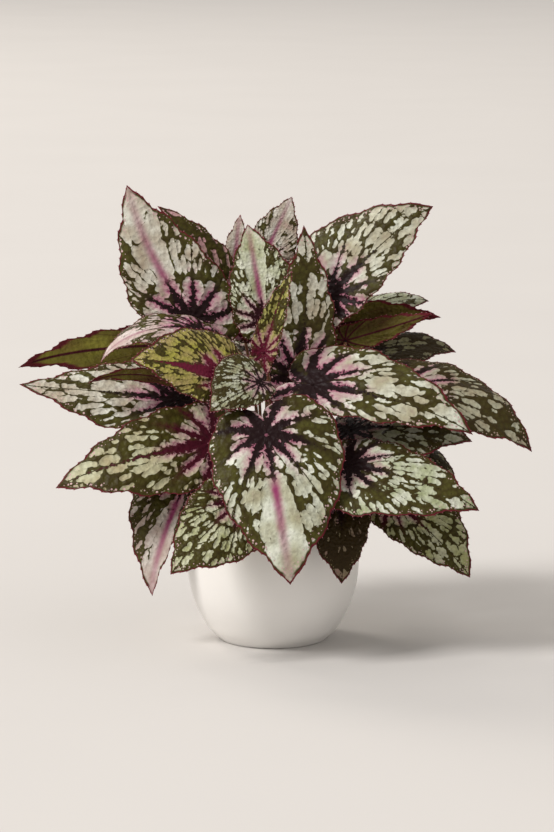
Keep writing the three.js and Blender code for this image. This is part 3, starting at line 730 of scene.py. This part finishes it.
# how far apart the patterns of two leaves are
LEAF_NUMBER_STEP = 3.7
RING_SHARES = (
    1, 0.988, 0.965, 0.93, 0.885, 0.83, 0.77, 0.7, 0.63, 0.56, 0.49, 0.42, 0.35, 0.28, 0.22, 0.16,
    0.11, 0.065, 0.03)
WIDE_HALF = (
    (-0.035, 0), (-0.16, 0.012), (-0.25, 0.13), (-0.225, 0.295), (-0.095, 0.40), (0.09, 0.44),
    (0.28, 0.42), (0.46, 0.365), (0.63, 0.28), (0.77, 0.18), (0.88, 0.09), (1, 0))
NARROW_HALF = (
    (-0.035, 0), (-0.13, 0.012), (-0.205, 0.11), (-0.165, 0.245), (-0.01, 0.32), (0.20, 0.335),
    (0.38, 0.31), (0.56, 0.25), (0.72, 0.17), (0.84, 0.095), (0.93, 0.042), (1, 0))
# how many points the length of a curve is measured with
FINE_STEPS = 1200


def spline(points, t):
    """The smooth curve through the points at t, from 0 to 1."""
    points = np.array(points, float)
    last = len(points) - 1
    place = np.clip(t, 0, 1) * last
    i = np.minimum(place.astype(int), last - 1)
    x = (place - i)[:, None]
    before, start, end, after = (points[np.clip(i + k, 0, last)] for k in (-1, 0, 1, 2))
    leaving, arriving = (end - before) / 2, (after - start) / 2
    return ((2 * start - 2 * end + leaving + arriving) * x**3
            + (-3 * start + 3 * end - 2 * leaving - arriving) * x**2 + leaving * x + start)


def evenly(points, count):
    """Count + 1 points at even distances along the smooth curve."""
    t = np.linspace(0, 1, FINE_STEPS)
    curve = spline(points, t)
    walked = np.concatenate([[0], np.cumsum(np.linalg.norm(np.diff(curve, axis=0), axis=1))])
    return spline(points, np.interp(np.linspace(0, walked[-1], count + 1), walked, t))


def unit(vectors):
    return vectors / np.linalg.norm(vectors, axis=-1, keepdims=True)


def midrib(leaf):
    """Places along the midrib, how far ahead and up it is there, and how steep it is."""
    u = np.linspace(MIDRIB_START, 1, MIDRIB_POINTS)

    def angle(at):
        past_shoulder = np.clip((at - SHOULDER) / (1 - SHOULDER), 0, 1)
        return np.radians(leaf["arch"] * (0.5 - at) - leaf["nod"] * past_shoulder**2)

    half_way = angle((u[1:] + u[:-1]) / 2)
    spacing = u[1] - u[0]
    along = np.concatenate([[0], np.cumsum(np.cos(half_way) * spacing)])
    up = np.concatenate([[0], np.cumsum(np.sin(half_way) * spacing)])
    along -= np.interp(0, u, along)
    up -= np.interp(0, u, up)
    return u, along, up, angle(u)


# %% Points of a blade
def blade_axes(leaf):
    """Ahead to the tip, up out of the upper side, to the right, and the blade's length."""
    chord = leaf["tip"] - leaf["joint"]
    ahead = unit(chord)
    up = unit(leaf["face"] - leaf["face"].dot(ahead) * ahead)
    _, along, height, _ = midrib(leaf)
    return ahead, up, np.cross(ahead, up), np.linalg.norm(chord) / math.hypot(along[-1], height[-1])


def blade_points(leaf, u, w, lift):
    """Points of the blade at u along and w to the right, in blade lengths, lifted in millimetres."""
    ahead, up, right, length = blade_axes(leaf)
    places, along, height, angle = midrib(leaf)
    tilt = math.atan2(height[-1], along[-1])
    x, z = np.interp(u, places, along), np.interp(u, places, height)
    turn = (np.interp(u, places, angle) - tilt)[:, None]
    normal = np.cos(turn) * up - np.sin(turn) * ahead

    out = np.abs(w)
    slope = np.radians(
        leaf["fold"] * out / (out + FOLD_WITHIN) - 0.5 * leaf["curl"] * out / CURL_OVER)
    inside = np.clip(u, 0, 1)
    sweep = 2 * inside * (1 - inside) * math.tan(math.radians(leaf["sweep"]) / 4)
    reach = np.minimum(np.hypot(u, w) / WAVE_FULL_AT, WAVE_LIMIT)
    wave = WAVE_HEIGHT * reach**2 * np.cos(WAVES_ROUND_BLADE * np.arctan2(w, u) + 1)
    rise = length * (out * np.sin(slope) + wave) + lift
    return (leaf["joint"]
            + (length * (x * math.cos(tilt) + z * math.sin(tilt)))[:, None] * ahead
            + (length * (z * math.cos(tilt) - x * math.sin(tilt)))[:, None] * up
            + (length * (w * np.cos(slope) + sweep))[:, None] * right
            + rise[:, None] * normal)


def half_margin(leaf, side):
    """One half of the toothed margin, from the notch to the tip."""
    half = WIDE_HALF if side == leaf["wide"] else NARROW_HALF
    width = side * (leaf["right"] if side > 0 else leaf["left"])
    count = TEETH_PER_SIDE * STEPS_PER_TOOTH
    smooth = evenly([(u, w * width) for u, w in half], count)
    heading = unit(np.gradient(smooth, axis=0))
    outwards = np.stack([-heading[:, 1], heading[:, 0]], axis=1) * side
    place = np.arange(count + 1) / STEPS_PER_TOOTH
    fading = np.clip(place / TEETH_SET_IN, 0, 1)
    fading = fading * np.clip((TEETH_PER_SIDE - place) / TEETH_END, 0, 1)
    large = 1 - 4 * np.abs(place % 1 - 0.5)
    small = np.array(SMALL_TOOTH)[np.arange(count + 1) % len(SMALL_TOOTH)]
    height = TOOTH_HEIGHT * large + SMALL_TOOTH_HEIGHT * small
    lean = TOOTH_HEIGHT * np.clip(large, 0, 1)
    return smooth + (fading * height)[:, None] * outwards + (fading * lean)[:, None] * heading


# %% A blade as a mesh
def blade_mesh(leaf, number):
    """Points, faces, materials and coordinates of a blade with both its sides."""
    length = blade_axes(leaf)[3]
    margin = np.concatenate([half_margin(leaf, 1), half_margin(leaf, -1)[::-1][1:-1]])
    around = len(margin)
    shares = np.append(np.repeat(RING_SHARES, around), 0)
    flat = np.concatenate([*(margin * share for share in RING_SHARES), [[0, 0]]])
    u, w = flat.T
    angle, radius = np.arctan2(w, u), np.hypot(u, w)
    vein = (angle + VEIN_LEAN * shares * np.sin(angle)) / VEIN_ANGLE

    quilt = QUILT_HEIGHT * length * (0.5 - 0.5 * np.cos(2 * math.pi * vein))
    inwards = np.clip((1 - shares) / QUILT_FLAT_BORDER, 0.25, 1)
    quilt *= np.clip(radius / QUILT_FULL_AT, 0, 1) * inwards
    middle = blade_points(leaf, u, w, quilt)

    rings = len(RING_SHARES)
    ring = np.arange(around)
    after = (ring + 1) % around
    quads = np.concatenate([
        np.stack([ring, ring + around, after + around, after], 1) + k * around
        for k in range(rings - 1)])
    centre = rings * around
    last = (rings - 1) * around
    fan = np.stack([last + ring, np.full(around, centre), last + after], 1)

    diagonals = np.cross(
        middle[quads[:, 2]] - middle[quads[:, 0]], middle[quads[:, 3]] - middle[quads[:, 1]])
    normals = np.zeros_like(middle)
    for corner in range(4):
        np.add.at(normals, quads[:, corner], diagonals)
    normals[centre] = normals[last:centre].sum(axis=0)
    normals = unit(normals)
    if normals[centre] @ blade_axes(leaf)[1] < 0:
        normals = -normals
    thickening = np.clip((1 - shares) / THIN_BORDER, 0, 1)
    half = MARGIN_HALF_THICKNESS + (BLADE_HALF_THICKNESS - MARGIN_HALF_THICKNESS) * thickening
    points = np.concatenate([middle + normals * half[:, None], middle - normals * half[:, None]])

    count = len(middle)
    rim = np.stack([ring, after, after + count, ring + count], 1)
    faces = [*quads.tolist(), *fan.tolist(), *(quads[:, ::-1] + count).tolist(),
             *(fan[:, ::-1] + count).tolist(), *rim.tolist()]
    upper = len(quads) + len(fan)
    materials = [0] * upper + [1] * (upper + around)
    polar = np.stack([vein, radius, shares], 1)
    plane = np.stack([u, w, np.full(count, number * LEAF_NUMBER_STEP)], 1)
    return points, faces, materials, np.tile(polar, (2, 1)), np.tile(plane, (2, 1)), around


# %% [markdown]
# A stalk is a tapered tube along a smooth curve that rises from the soil, leans out and comes up
# into the blade from beneath. Each ring of the tube is carried on from the last one, so the tube
# doesn't twist.

# %% Stalk geometry
STALK_SIDES = 12
STALK_STEPS = 28
# in millimetres; a stalk is thicker by up to so much if its blade is longer than a small one
SOIL_TOP = 100
ROOT_SUNK = 8
THIN_STALK = 1.5
THICKER_BY = 0.8
SMALL_BLADE = 60
LARGER_BY = 65
OVER_JOINT = 0.5
CAP = 0.3
COORDINATE_UNIT = 100
# shares of the stalk's length, and then of its thickness
LEANING_OUT = 0.06
RISING_FIRST = 0.42
RUNNING_IN = 0.33
LAST_STEP_AT = 0.985
TAPER = 0.28
SWELLING = (1.1, 1.25, 0.9)
# the way into the blade: so much straight on, and so much towards the upper side
STRAIGHT_ON = 0.7
INTO_THE_BLADE = 0.45


def tube_faces(sides, rings):
    """Faces of a closed tube, whose rings of points are followed by the middles of both ends."""
    start = sides * rings
    last = start - sides
    faces = []
    for k in range(sides):
        following = (k + 1) % sides
        for row in range(0, last, sides):
            above = row + sides
            faces.append([row + k, row + following, above + following, above + k])
        faces.append([following, k, start])
        faces.append([last + k, last + following, start + 1])
    return faces


def stalk_mesh(leaf):
    """Points, faces and coordinates of a leaf's stalk."""
    _, up, _, length = blade_axes(leaf)
    start = np.array([*leaf["root"], SOIL_TOP - ROOT_SUNK], float)
    reach = np.linalg.norm(leaf["joint"] - start)
    straight = (leaf["joint"] - start) / reach
    arrival = unit(STRAIGHT_ON * straight + INTO_THE_BLADE * up)
    bend = leaf["bend"]
    near_root = start + bend + reach * np.array([*(LEANING_OUT * straight[:2]), RISING_FIRST])
    near_blade = leaf["joint"] - RUNNING_IN * reach * arrival + bend
    end = leaf["joint"] + OVER_JOINT * up
    t = np.append(np.linspace(0, LAST_STEP_AT, STALK_STEPS), 1)[:, None]
    path = ((1 - t)**3 * start + 3 * (1 - t)**2 * t * near_root
            + 3 * (1 - t) * t**2 * near_blade + t**3 * end)

    thick = THIN_STALK + THICKER_BY * min(max((length - SMALL_BLADE) / LARGER_BY, 0), 1)
    radii = thick * (1 - TAPER * t[:, 0])
    radii[-3:] *= SWELLING
    heading = unit(np.gradient(path, axis=0))
    side = unit(np.cross(heading[0], (0.3, 1, 0)))
    turn = 2 * math.pi * np.arange(STALK_SIDES) / STALK_SIDES
    points = []
    for centre, forward, radius in zip(path, heading, radii):
        side = unit(side - side.dot(forward) * forward)
        other = np.cross(forward, side)
        points.append(centre + radius * (np.cos(turn)[:, None] * side + np.sin(turn)[:, None] * other))
    points = np.concatenate([*points, path[:1], path[-1:] + CAP * heading[-1:]])

    walked = np.append(np.repeat(t[:, 0], STALK_SIDES), (0, 1))
    around = np.append(np.tile(turn, STALK_STEPS + 1), (0, 0))
    plane = np.stack([walked * reach / COORDINATE_UNIT, around, np.zeros_like(walked)], 1)
    return points, tube_faces(STALK_SIDES, STALK_STEPS + 1), plane


# %% [markdown]
# ## Hairs and teeth
# Hairs on the stalks and fine teeth along the margin repeat hundreds of times, which is what
# Geometry Nodes are for. The tree scatters thin three-sided cones over the faces that are marked
# as stalk, and stands one on each marked point of the margin. Its sizes are inputs, so each leaf
# can set its own, and it ends in real mesh, because instances are dropped when the model is kept.

# %% Helpers for trees
NAMED_VALUE = "GeometryNodeInputNamedAttribute"
RANDOM = "FunctionNodeRandomValue"
COMPARE = "FunctionNodeCompare"
SCATTER = "GeometryNodeDistributePointsOnFaces"
INSTANCES = "GeometryNodeInstanceOnPoints"
CONE = "GeometryNodeMeshCone"
ALIGN = "FunctionNodeAlignRotationToVector"
ABOVE = {"operation": "GREATER_THAN"}
VECTORS = {"data_type": "FLOAT_VECTOR"}


def new_tree(name, inputs):
    """An empty Geometry Nodes tree with these named inputs, and its input and output nodes."""
    tree = bpy.data.node_groups.new(name, "GeometryNodeTree")
    tree.interface.new_socket("Geometry", in_out="INPUT", socket_type="NodeSocketGeometry")
    tree.interface.new_socket("Geometry", in_out="OUTPUT", socket_type="NodeSocketGeometry")
    for label, (kind, value) in inputs.items():
        socket = tree.interface.new_socket(label, in_out="INPUT", socket_type=f"NodeSocket{kind}")
        socket.default_value = value
    return tree, tree.nodes.new("NodeGroupInput").outputs, tree.nodes.new("NodeGroupOutput")


def join_painted(tree, given, output, parts):
    """Makes each part's instances real mesh of its material, and joins them to what came in."""
    joined = tree.nodes.new("GeometryNodeJoinGeometry")
    tree.links.new(given["Geometry"], joined.inputs[0])
    for instances, material in parts:
        real = add(tree, "GeometryNodeRealizeInstances", [instances])
        painted = add(tree, "GeometryNodeSetMaterial", {"Geometry": real, "Material": material})
        tree.links.new(painted, joined.inputs[0])
    tree.links.new(joined.outputs[0], output.inputs[0])


# %% Hair and tooth tree
HAIR_ASTRAY = 0.7
SHORTEST = 0.45


def make_hair_tree():
    """Hairs on the faces that are marked as stalk, and teeth on the marked points."""
    tree, given, output = new_tree("hairs_and_teeth", {
        "Hair length": ("Float", 2.2 * MM), "Hair radius": ("Float", 0.09 * MM),
        "Hairs per square metre": ("Float", 45000.0), "Tooth length": ("Float", 1.1 * MM),
        "Tooth radius": ("Float", 0.28 * MM), "Seed": ("Int", 0)})
    seed = given["Seed"]
    marked = [add(tree, NAMED_VALUE, [name], data_type="FLOAT") for name in ("is_stalk", "is_tooth")]
    on_stalk, on_margin = [add(tree, COMPARE, {0: mark, 1: 0.5}, **ABOVE) for mark in marked]

    scattered = add(tree, SCATTER, {
        "Mesh": given["Geometry"], "Selection": on_stalk, "Density": given["Hairs per square metre"],
        "Seed": seed}, output=None)
    astray = add(tree, RANDOM, {0: (-HAIR_ASTRAY,) * 3, 1: (HAIR_ASTRAY,) * 3, "Seed": seed}, **VECTORS)
    heading = add(tree, VECTOR_MATH, [scattered.outputs["Normal"], astray], **PLUS)
    hair = add(tree, CONE, {
        "Vertices": 3, "Radius Top": 0.0, "Radius Bottom": given["Hair radius"],
        "Depth": given["Hair length"]})
    lengths = add(tree, RANDOM, {2: SHORTEST, 3: 1.0, "Seed": seed})
    hairs = add(tree, INSTANCES, {
        "Points": scattered.outputs["Points"], "Instance": hair, "Scale": lengths,
        "Rotation": add(tree, ALIGN, {"Vector": heading})})

    margin = add(tree, "GeometryNodeMeshToPoints", {"Mesh": given["Geometry"], "Selection": on_margin})
    tooth = add(tree, CONE, {
        "Vertices": 4, "Radius Top": 0.0, "Radius Bottom": given["Tooth radius"],
        "Depth": given["Tooth length"]})
    outwards = add(tree, NAMED_VALUE, ["margin_out"], **VECTORS)
    teeth = add(tree, INSTANCES, {
        "Points": margin, "Instance": tooth, "Scale": lengths,
        "Rotation": add(tree, ALIGN, {"Vector": outwards})})
    join_painted(tree, given, output, ((hairs, stalk_hair), (teeth, margin_hair)))
    return tree


def run_tree(piece, tree, values):
    """Runs the tree on the piece with these inputs and keeps the plain mesh that comes out."""
    modifier = piece.modifiers.new(tree.name, "NODES")
    modifier.node_group = tree
    identifiers = {
        item.name: item.identifier for item in tree.interface.items_tree if item.in_out == "INPUT"}
    for label, value in values.items():
        modifier[identifiers[label]] = value
    depsgraph = bpy.context.evaluated_depsgraph_get()
    mesh = bpy.data.meshes.new_from_object(piece.evaluated_get(depsgraph), depsgraph=depsgraph)
    piece.modifiers.remove(modifier)
    piece.data = mesh


hair_tree = make_hair_tree()

# %% [markdown]
# ## Growing the leaves
# Each leaf becomes one mesh of its blade, its stalk, its hairs and its teeth. The coordinates of
# the pattern are stored as attributes, because the shader reads them by name. The leaf then takes
# the place of its solid.

# %% Helpers for pieces
def store(mesh, name, values):
    """Keeps a value for each point: a number or a vector."""
    values = np.asarray(values, np.float32)
    vector = values.ndim == 2
    attribute = mesh.attributes.new(name, "FLOAT_VECTOR" if vector else "FLOAT", "POINT")
    attribute.data.foreach_set("vector" if vector else "value", values.ravel())


def new_piece(name, points, faces, materials, slots=None):
    """An object at the origin with this mesh in millimetres."""
    mesh = bpy.data.meshes.new(name)
    mesh.from_pydata((np.asarray(points) * MM).tolist(), [], faces)
    for material in materials:
        mesh.materials.append(material)
    if slots is not None:
        mesh.polygons.foreach_set("material_index", slots)
    mesh.shade_smooth()
    piece = bpy.data.objects.new(name, mesh)
    bpy.context.scene.collection.objects.link(piece)
    return piece


# %% Make every leaf
# which points of the margin carry a fine tooth: a first one, and every fourth from there on
FIRST_TOOTH = 2
TEETH_APART = 4
LEAF_SHARP_FROM = math.radians(60)


def make_leaf(name, number, entry):
    """Puts the fine leaf in the place of its solid, and gives back how many faces it has."""
    leaf = {**USUAL, **entry}
    for key in ("joint", "tip", "face", "bend"):
        leaf[key] = np.array(leaf[key], float)
    points, faces, slots, polar, plane, around = blade_mesh(leaf, number)
    stalk_points, stalk_faces, stalk_plane = stalk_mesh(leaf)
    first, stalk_count = len(points), len(stalk_points)
    faces += [[corner + first for corner in face] for face in stalk_faces]
    # the end that pierces the blade is painted as its dark middle
    end = (STALK_STEPS - 1) * STALK_SIDES
    slots += [0 if min(face) >= end else 2 for face in stalk_faces]
    piece = new_piece(
        f"{name}_fine", np.concatenate([points, stalk_points]), faces,
        [upper_side, underside, stalk_skin], slots)

    none = np.zeros((stalk_count, 3))
    margin_out = np.zeros((first, 3))
    margin_out[:around] = unit(points[:around] - points[around:2 * around])
    is_tooth = np.zeros(first)
    is_tooth[FIRST_TOOTH:around:TEETH_APART] = 1
    mesh = piece.data
    store(mesh, "leaf_polar", np.concatenate([polar, none]))
    store(mesh, "leaf_plane", np.concatenate([plane, stalk_plane]))
    whole = (first + stalk_count, 1)
    # leaf_look carries the silver cover, the pink and the painted light and shade of the leaf
    store(mesh, "leaf_look", np.tile((leaf["silver"], leaf["pink"], leaf["light_and_shade"]), whole))
    store(mesh, "leaf_star", np.tile((leaf["band"], leaf["reach"], leaf["star"]), whole))
    store(mesh, "is_stalk", np.append(np.zeros(first), np.ones(stalk_count)))
    store(mesh, "is_tooth", np.append(is_tooth, np.zeros(stalk_count)))
    store(mesh, "margin_out", np.concatenate([margin_out, none]))
    run_tree(piece, hair_tree, {"Seed": number})
    piece.data.set_sharp_from_angle(angle=LEAF_SHARP_FROM)

    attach(piece, "root")
    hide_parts(name)
    return len(piece.data.polygons)


face_counts = [make_leaf(name, number, entry) for number, (name, entry) in enumerate(LEAVES.items())]
print("faces in the leaves:", sum(face_counts), "most in one:", max(face_counts))

# %% [markdown]
# ## The cover pot
# The pot is slip-cast and glazed white, so it is a turned shape with soft edges. A profile turned
# round the axis in fine steps gives a round outline. The glaze is smooth and satin, with a very
# slight unevenness where it ran.

# %% Shape of the pot
POT_RADIUS = 67.5
POT_HEIGHT = 110
FOOT_RADIUS = 43
POT_WALL = 5
POT_FLOOR = 8
POT_SEGMENTS = 144
RIM_RADIUS = 0.992 * POT_RADIUS
FLOOR_RADIUS = 0.72 * POT_RADIUS
FLOOR_CORNER = 4
SIDE_STEPS = 40
RIM_STEPS = 10
# from the axis out: a shallow hollow, the flat ring that the pot stands on, and its soft edge
FOOT = (
    (0, 0.9), (FOOT_RADIUS - 6, 0.9), (FOOT_RADIUS - 5, 0), (FOOT_RADIUS - 2, 0),
    (FOOT_RADIUS - 0.7, 0.5))
POT_SIDE = (
    (FOOT_RADIUS, 1.6), (0.765 * POT_RADIUS, 0.095 * POT_HEIGHT),
    (0.915 * POT_RADIUS, 0.275 * POT_HEIGHT), (0.985 * POT_RADIUS, 0.46 * POT_HEIGHT),
    (POT_RADIUS, 0.68 * POT_HEIGHT), (RIM_RADIUS, POT_HEIGHT - POT_WALL / 2))


def turned(profile, segments):
    """A closed solid: the profile runs from axis to axis, up the outside and down the inside."""
    radii, heights = np.array(profile[1:-1], float).T
    turn = 2 * math.pi * np.arange(segments) / segments
    rings = np.stack([
        radii[:, None] * np.cos(turn), radii[:, None] * np.sin(turn),
        np.repeat(heights[:, None], segments, 1)], -1)
    points = np.concatenate([rings.reshape(-1, 3), [[0, 0, profile[0][1]], [0, 0, profile[-1][1]]]])
    return points, tube_faces(segments, len(radii))


def rounded(centre, radius, start, end, steps):
    """Points of an arc in the profile; the angles are in degrees from straight out."""
    angles = np.radians(np.linspace(start, end, steps + 1))
    return [(centre[0] + radius * math.cos(a), centre[1] + radius * math.sin(a)) for a in angles]


side = evenly(POT_SIDE, SIDE_STEPS).tolist()
inner_side = [
    (radius - POT_WALL, height) for radius, height in side if height > POT_FLOOR + FLOOR_CORNER][::-1]
rim = rounded(
    (RIM_RADIUS - POT_WALL / 2, POT_HEIGHT - POT_WALL / 2), POT_WALL / 2, 0, 180, RIM_STEPS)
profile = [
    *FOOT, *side, *rim[1:-1], *inner_side, (FLOOR_RADIUS, POT_FLOOR), (0, POT_FLOOR)]
print("points in the pot's profile:", len(profile))

# %% Pot
POT_SHARP_FROM = math.radians(50)
GLAZE_FLOW = (35.0, 2.0, 0.5)
GLAZE_RELIEF = 0.3 * MM
GLAZE_ROUGHNESS = (0.3, 0.7, 0.3, 0.34)
GLAZE_IOR = 1.5


def make_glaze():
    """Glazed ceramic: white, smooth and satin, and nowhere quite even."""
    material, tree, output = new_material("white_satin_glaze")
    colour, flow = mottled(tree, GLAZE_FLOW, linear("#f0eeea"), linear("#eeebe7"))
    bump = add(tree, BUMP, {"Strength": 0.05, "Distance": GLAZE_RELIEF, "Height": flow})
    roughness = add(tree, RANGE, [flow, *GLAZE_ROUGHNESS])
    skin = add(tree, PRINCIPLED, {
        "Base Color": colour, "Roughness": roughness, "IOR": GLAZE_IOR, "Normal": bump})
    tree.links.new(skin, output.inputs["Surface"])
    return material


pot = new_piece("pot_fine", *turned(profile, POT_SEGMENTS), [make_glaze()])
pot.data.set_sharp_from_angle(angle=POT_SHARP_FROM)
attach(pot, "root")
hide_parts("pot")
print("faces in the pot:", len(pot.data.polygons))

# %% [markdown]
# ## The potting soil
# The soil is peat with bits of bark and a little white perlite. A turned body fills the pot, and
# a Geometry Nodes tree scatters crumbs over its top: coarse dark ones and a few white grains.

# %% Soil materials
PEAT_GRAIN = (700.0, 4.0, 0.7)
PEAT_RELIEF = 0.6 * MM
PEAT_IOR = 1.4


def make_peat(name, dark, light):
    """Crumbly and quite dull, in two colours that are mixed finely."""
    material, tree, output = new_material(name)
    colour, grain = mottled(tree, PEAT_GRAIN, dark, light)
    bump = add(tree, BUMP, {"Strength": 0.8, "Distance": PEAT_RELIEF, "Height": grain})
    skin = add(tree, PRINCIPLED, {
        "Base Color": colour, "Roughness": 0.95, "IOR": PEAT_IOR, "Normal": bump})
    tree.links.new(skin, output.inputs["Surface"])
    return material


peat = make_peat("peat_soil", linear("#1d1510"), linear("#4a3524"))
perlite = make_peat("perlite_grain", linear("#b9b2a4"), linear("#e2ddd2"))

# %% Soil
GAP = 0.3
CRUMB_SEED = 4
FACING_UP = 0.6
FLATTEST_CRUMB = 0.3
FLATTEST_GRAIN = 0.6
LARGEST_CRUMB = (1.0, 1.0, 0.7)
SOIL_SEGMENTS = 96
SOIL_EDGE_DROP = 2
SOIL_RINGS = (0.97, 0.85, 0.7, 0.55, 0.4, 0.25, 0.1)
UNEVEN_BY = 1.2
UNEVEN_TURN = 9


def make_crumb_tree():
    """Crumbs of peat and grains of perlite on the faces that look up."""
    tree, given, output = new_tree("crumbs", {
        "Crumbs per square metre": ("Float", 90000.0), "Grains per square metre": ("Float", 5000.0),
        "Crumb radius": ("Float", 1.5 * MM), "Seed": ("Int", CRUMB_SEED)})
    seed = given["Seed"]
    facing_up = add(tree, SEPARATE, [add(tree, "GeometryNodeInputNormal")], output=2)
    on_top = add(tree, COMPARE, {0: facing_up, 1: FACING_UP}, **ABOVE)
    crumb = add(tree, "GeometryNodeMeshIcoSphere", {"Radius": given["Crumb radius"], "Subdivisions": 1})
    turn = add(tree, RANDOM, {0: (0, 0, 0), 1: (math.tau,) * 3, "Seed": seed}, **VECTORS)
    parts = []
    for density, material, smallest in (
            ("Crumbs per square metre", peat, FLATTEST_CRUMB),
            ("Grains per square metre", perlite, FLATTEST_GRAIN)):
        points = add(tree, SCATTER, {
            "Mesh": given["Geometry"], "Selection": on_top, "Density": given[density], "Seed": seed})
        squash = add(tree, RANDOM, {0: (smallest,) * 3, 1: LARGEST_CRUMB, "Seed": seed}, **VECTORS)
        crumbs = add(tree, INSTANCES, {
            "Points": points, "Instance": crumb, "Scale": squash, "Rotation": turn})
        parts.append((crumbs, material))
    join_painted(tree, given, output, parts)
    return tree


soil_edge = SOIL_TOP - SOIL_EDGE_DROP
wall = [(radius - GAP, height) for radius, height in inner_side[::-1] if height < soil_edge]
top_radius = RIM_RADIUS - POT_WALL - GAP
rings = [
    (top_radius * share, SOIL_TOP + UNEVEN_BY * math.sin(UNEVEN_TURN * share) - UNEVEN_BY)
    for share in SOIL_RINGS]
soil_profile = [
    (0, POT_FLOOR + GAP), (FLOOR_RADIUS - GAP, POT_FLOOR + GAP), *wall, (top_radius, soil_edge),
    *rings, (0, SOIL_TOP)]
soil = new_piece("potting_soil_fine", *turned(soil_profile, SOIL_SEGMENTS), [peat])
run_tree(soil, make_crumb_tree(), {"Seed": CRUMB_SEED})
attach(soil, "root")
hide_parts("potting_soil")
print("faces in the soil:", len(soil.data.polygons))

# %% [markdown]
# ## Floor and light
# The plant stands on a pale floor. One large soft lamp on the left gives the light and the long
# soft shadows to the right, a second one behind on the left shines through the thin leaves, and
# the pale world fills the shadows.

# %% Floor
FLOOR_HALF = 40000
FLOOR_MOTTLE = (3.0, 2.0, 0.5)


def make_floor_paint():
    """Dull paint, so the lamps leave no bright spot on the floor."""
    material, tree, output = new_material("pale_floor_paint")
    colour, _ = mottled(tree, FLOOR_MOTTLE, linear("#cecbc8"), linear("#cac7c4"))
    skin = add(tree, PRINCIPLED, {"Base Color": colour, "Roughness": 0.95, "Specular IOR Level": 0.15})
    tree.links.new(skin, output.inputs["Surface"])
    return material


corners = [(x * FLOOR_HALF, y * FLOOR_HALF, 0) for x, y in ((-1, -1), (1, -1), (1, 1), (-1, 1))]
floor = new_piece("floor", corners, [[0, 1, 2, 3]], [make_floor_paint()])

# %% Light
MIDDLE_OF_PLANT = Vector((0, 0, 0.18))
WORLD_COLOUR = linear("#f3efeb")
WORLD_STRENGTH = 0.64


def new_lamp(name, place, size, power, colour):
    """A square area lamp at this place in metres, turned to the middle of the plant."""
    data = bpy.data.lights.new(name, "AREA")
    data.size = size
    data.energy = power
    data.color = linear(colour)[:3]
    lamp = bpy.data.objects.new(name, data)
    lamp.location = place
    lamp.rotation_euler = (MIDDLE_OF_PLANT - Vector(place)).to_track_quat("-Z", "Y").to_euler()
    bpy.context.scene.collection.objects.link(lamp)


new_lamp("key_lamp", (-11.7, -6.3, 13.2), 5.7, 2800, "#fffcf9")
new_lamp("back_lamp", (-6.5, 8.0, 7.25), 3.75, 560, "#fff8ee")

world = bpy.data.worlds.new("pale_room")
world.use_nodes = True
background = world.node_tree.nodes["Background"]
background.inputs["Color"].default_value = WORLD_COLOUR
background.inputs["Strength"].default_value = WORLD_STRENGTH
bpy.context.scene.world = world
bpy.context.scene.view_settings.view_transform = "Standard"
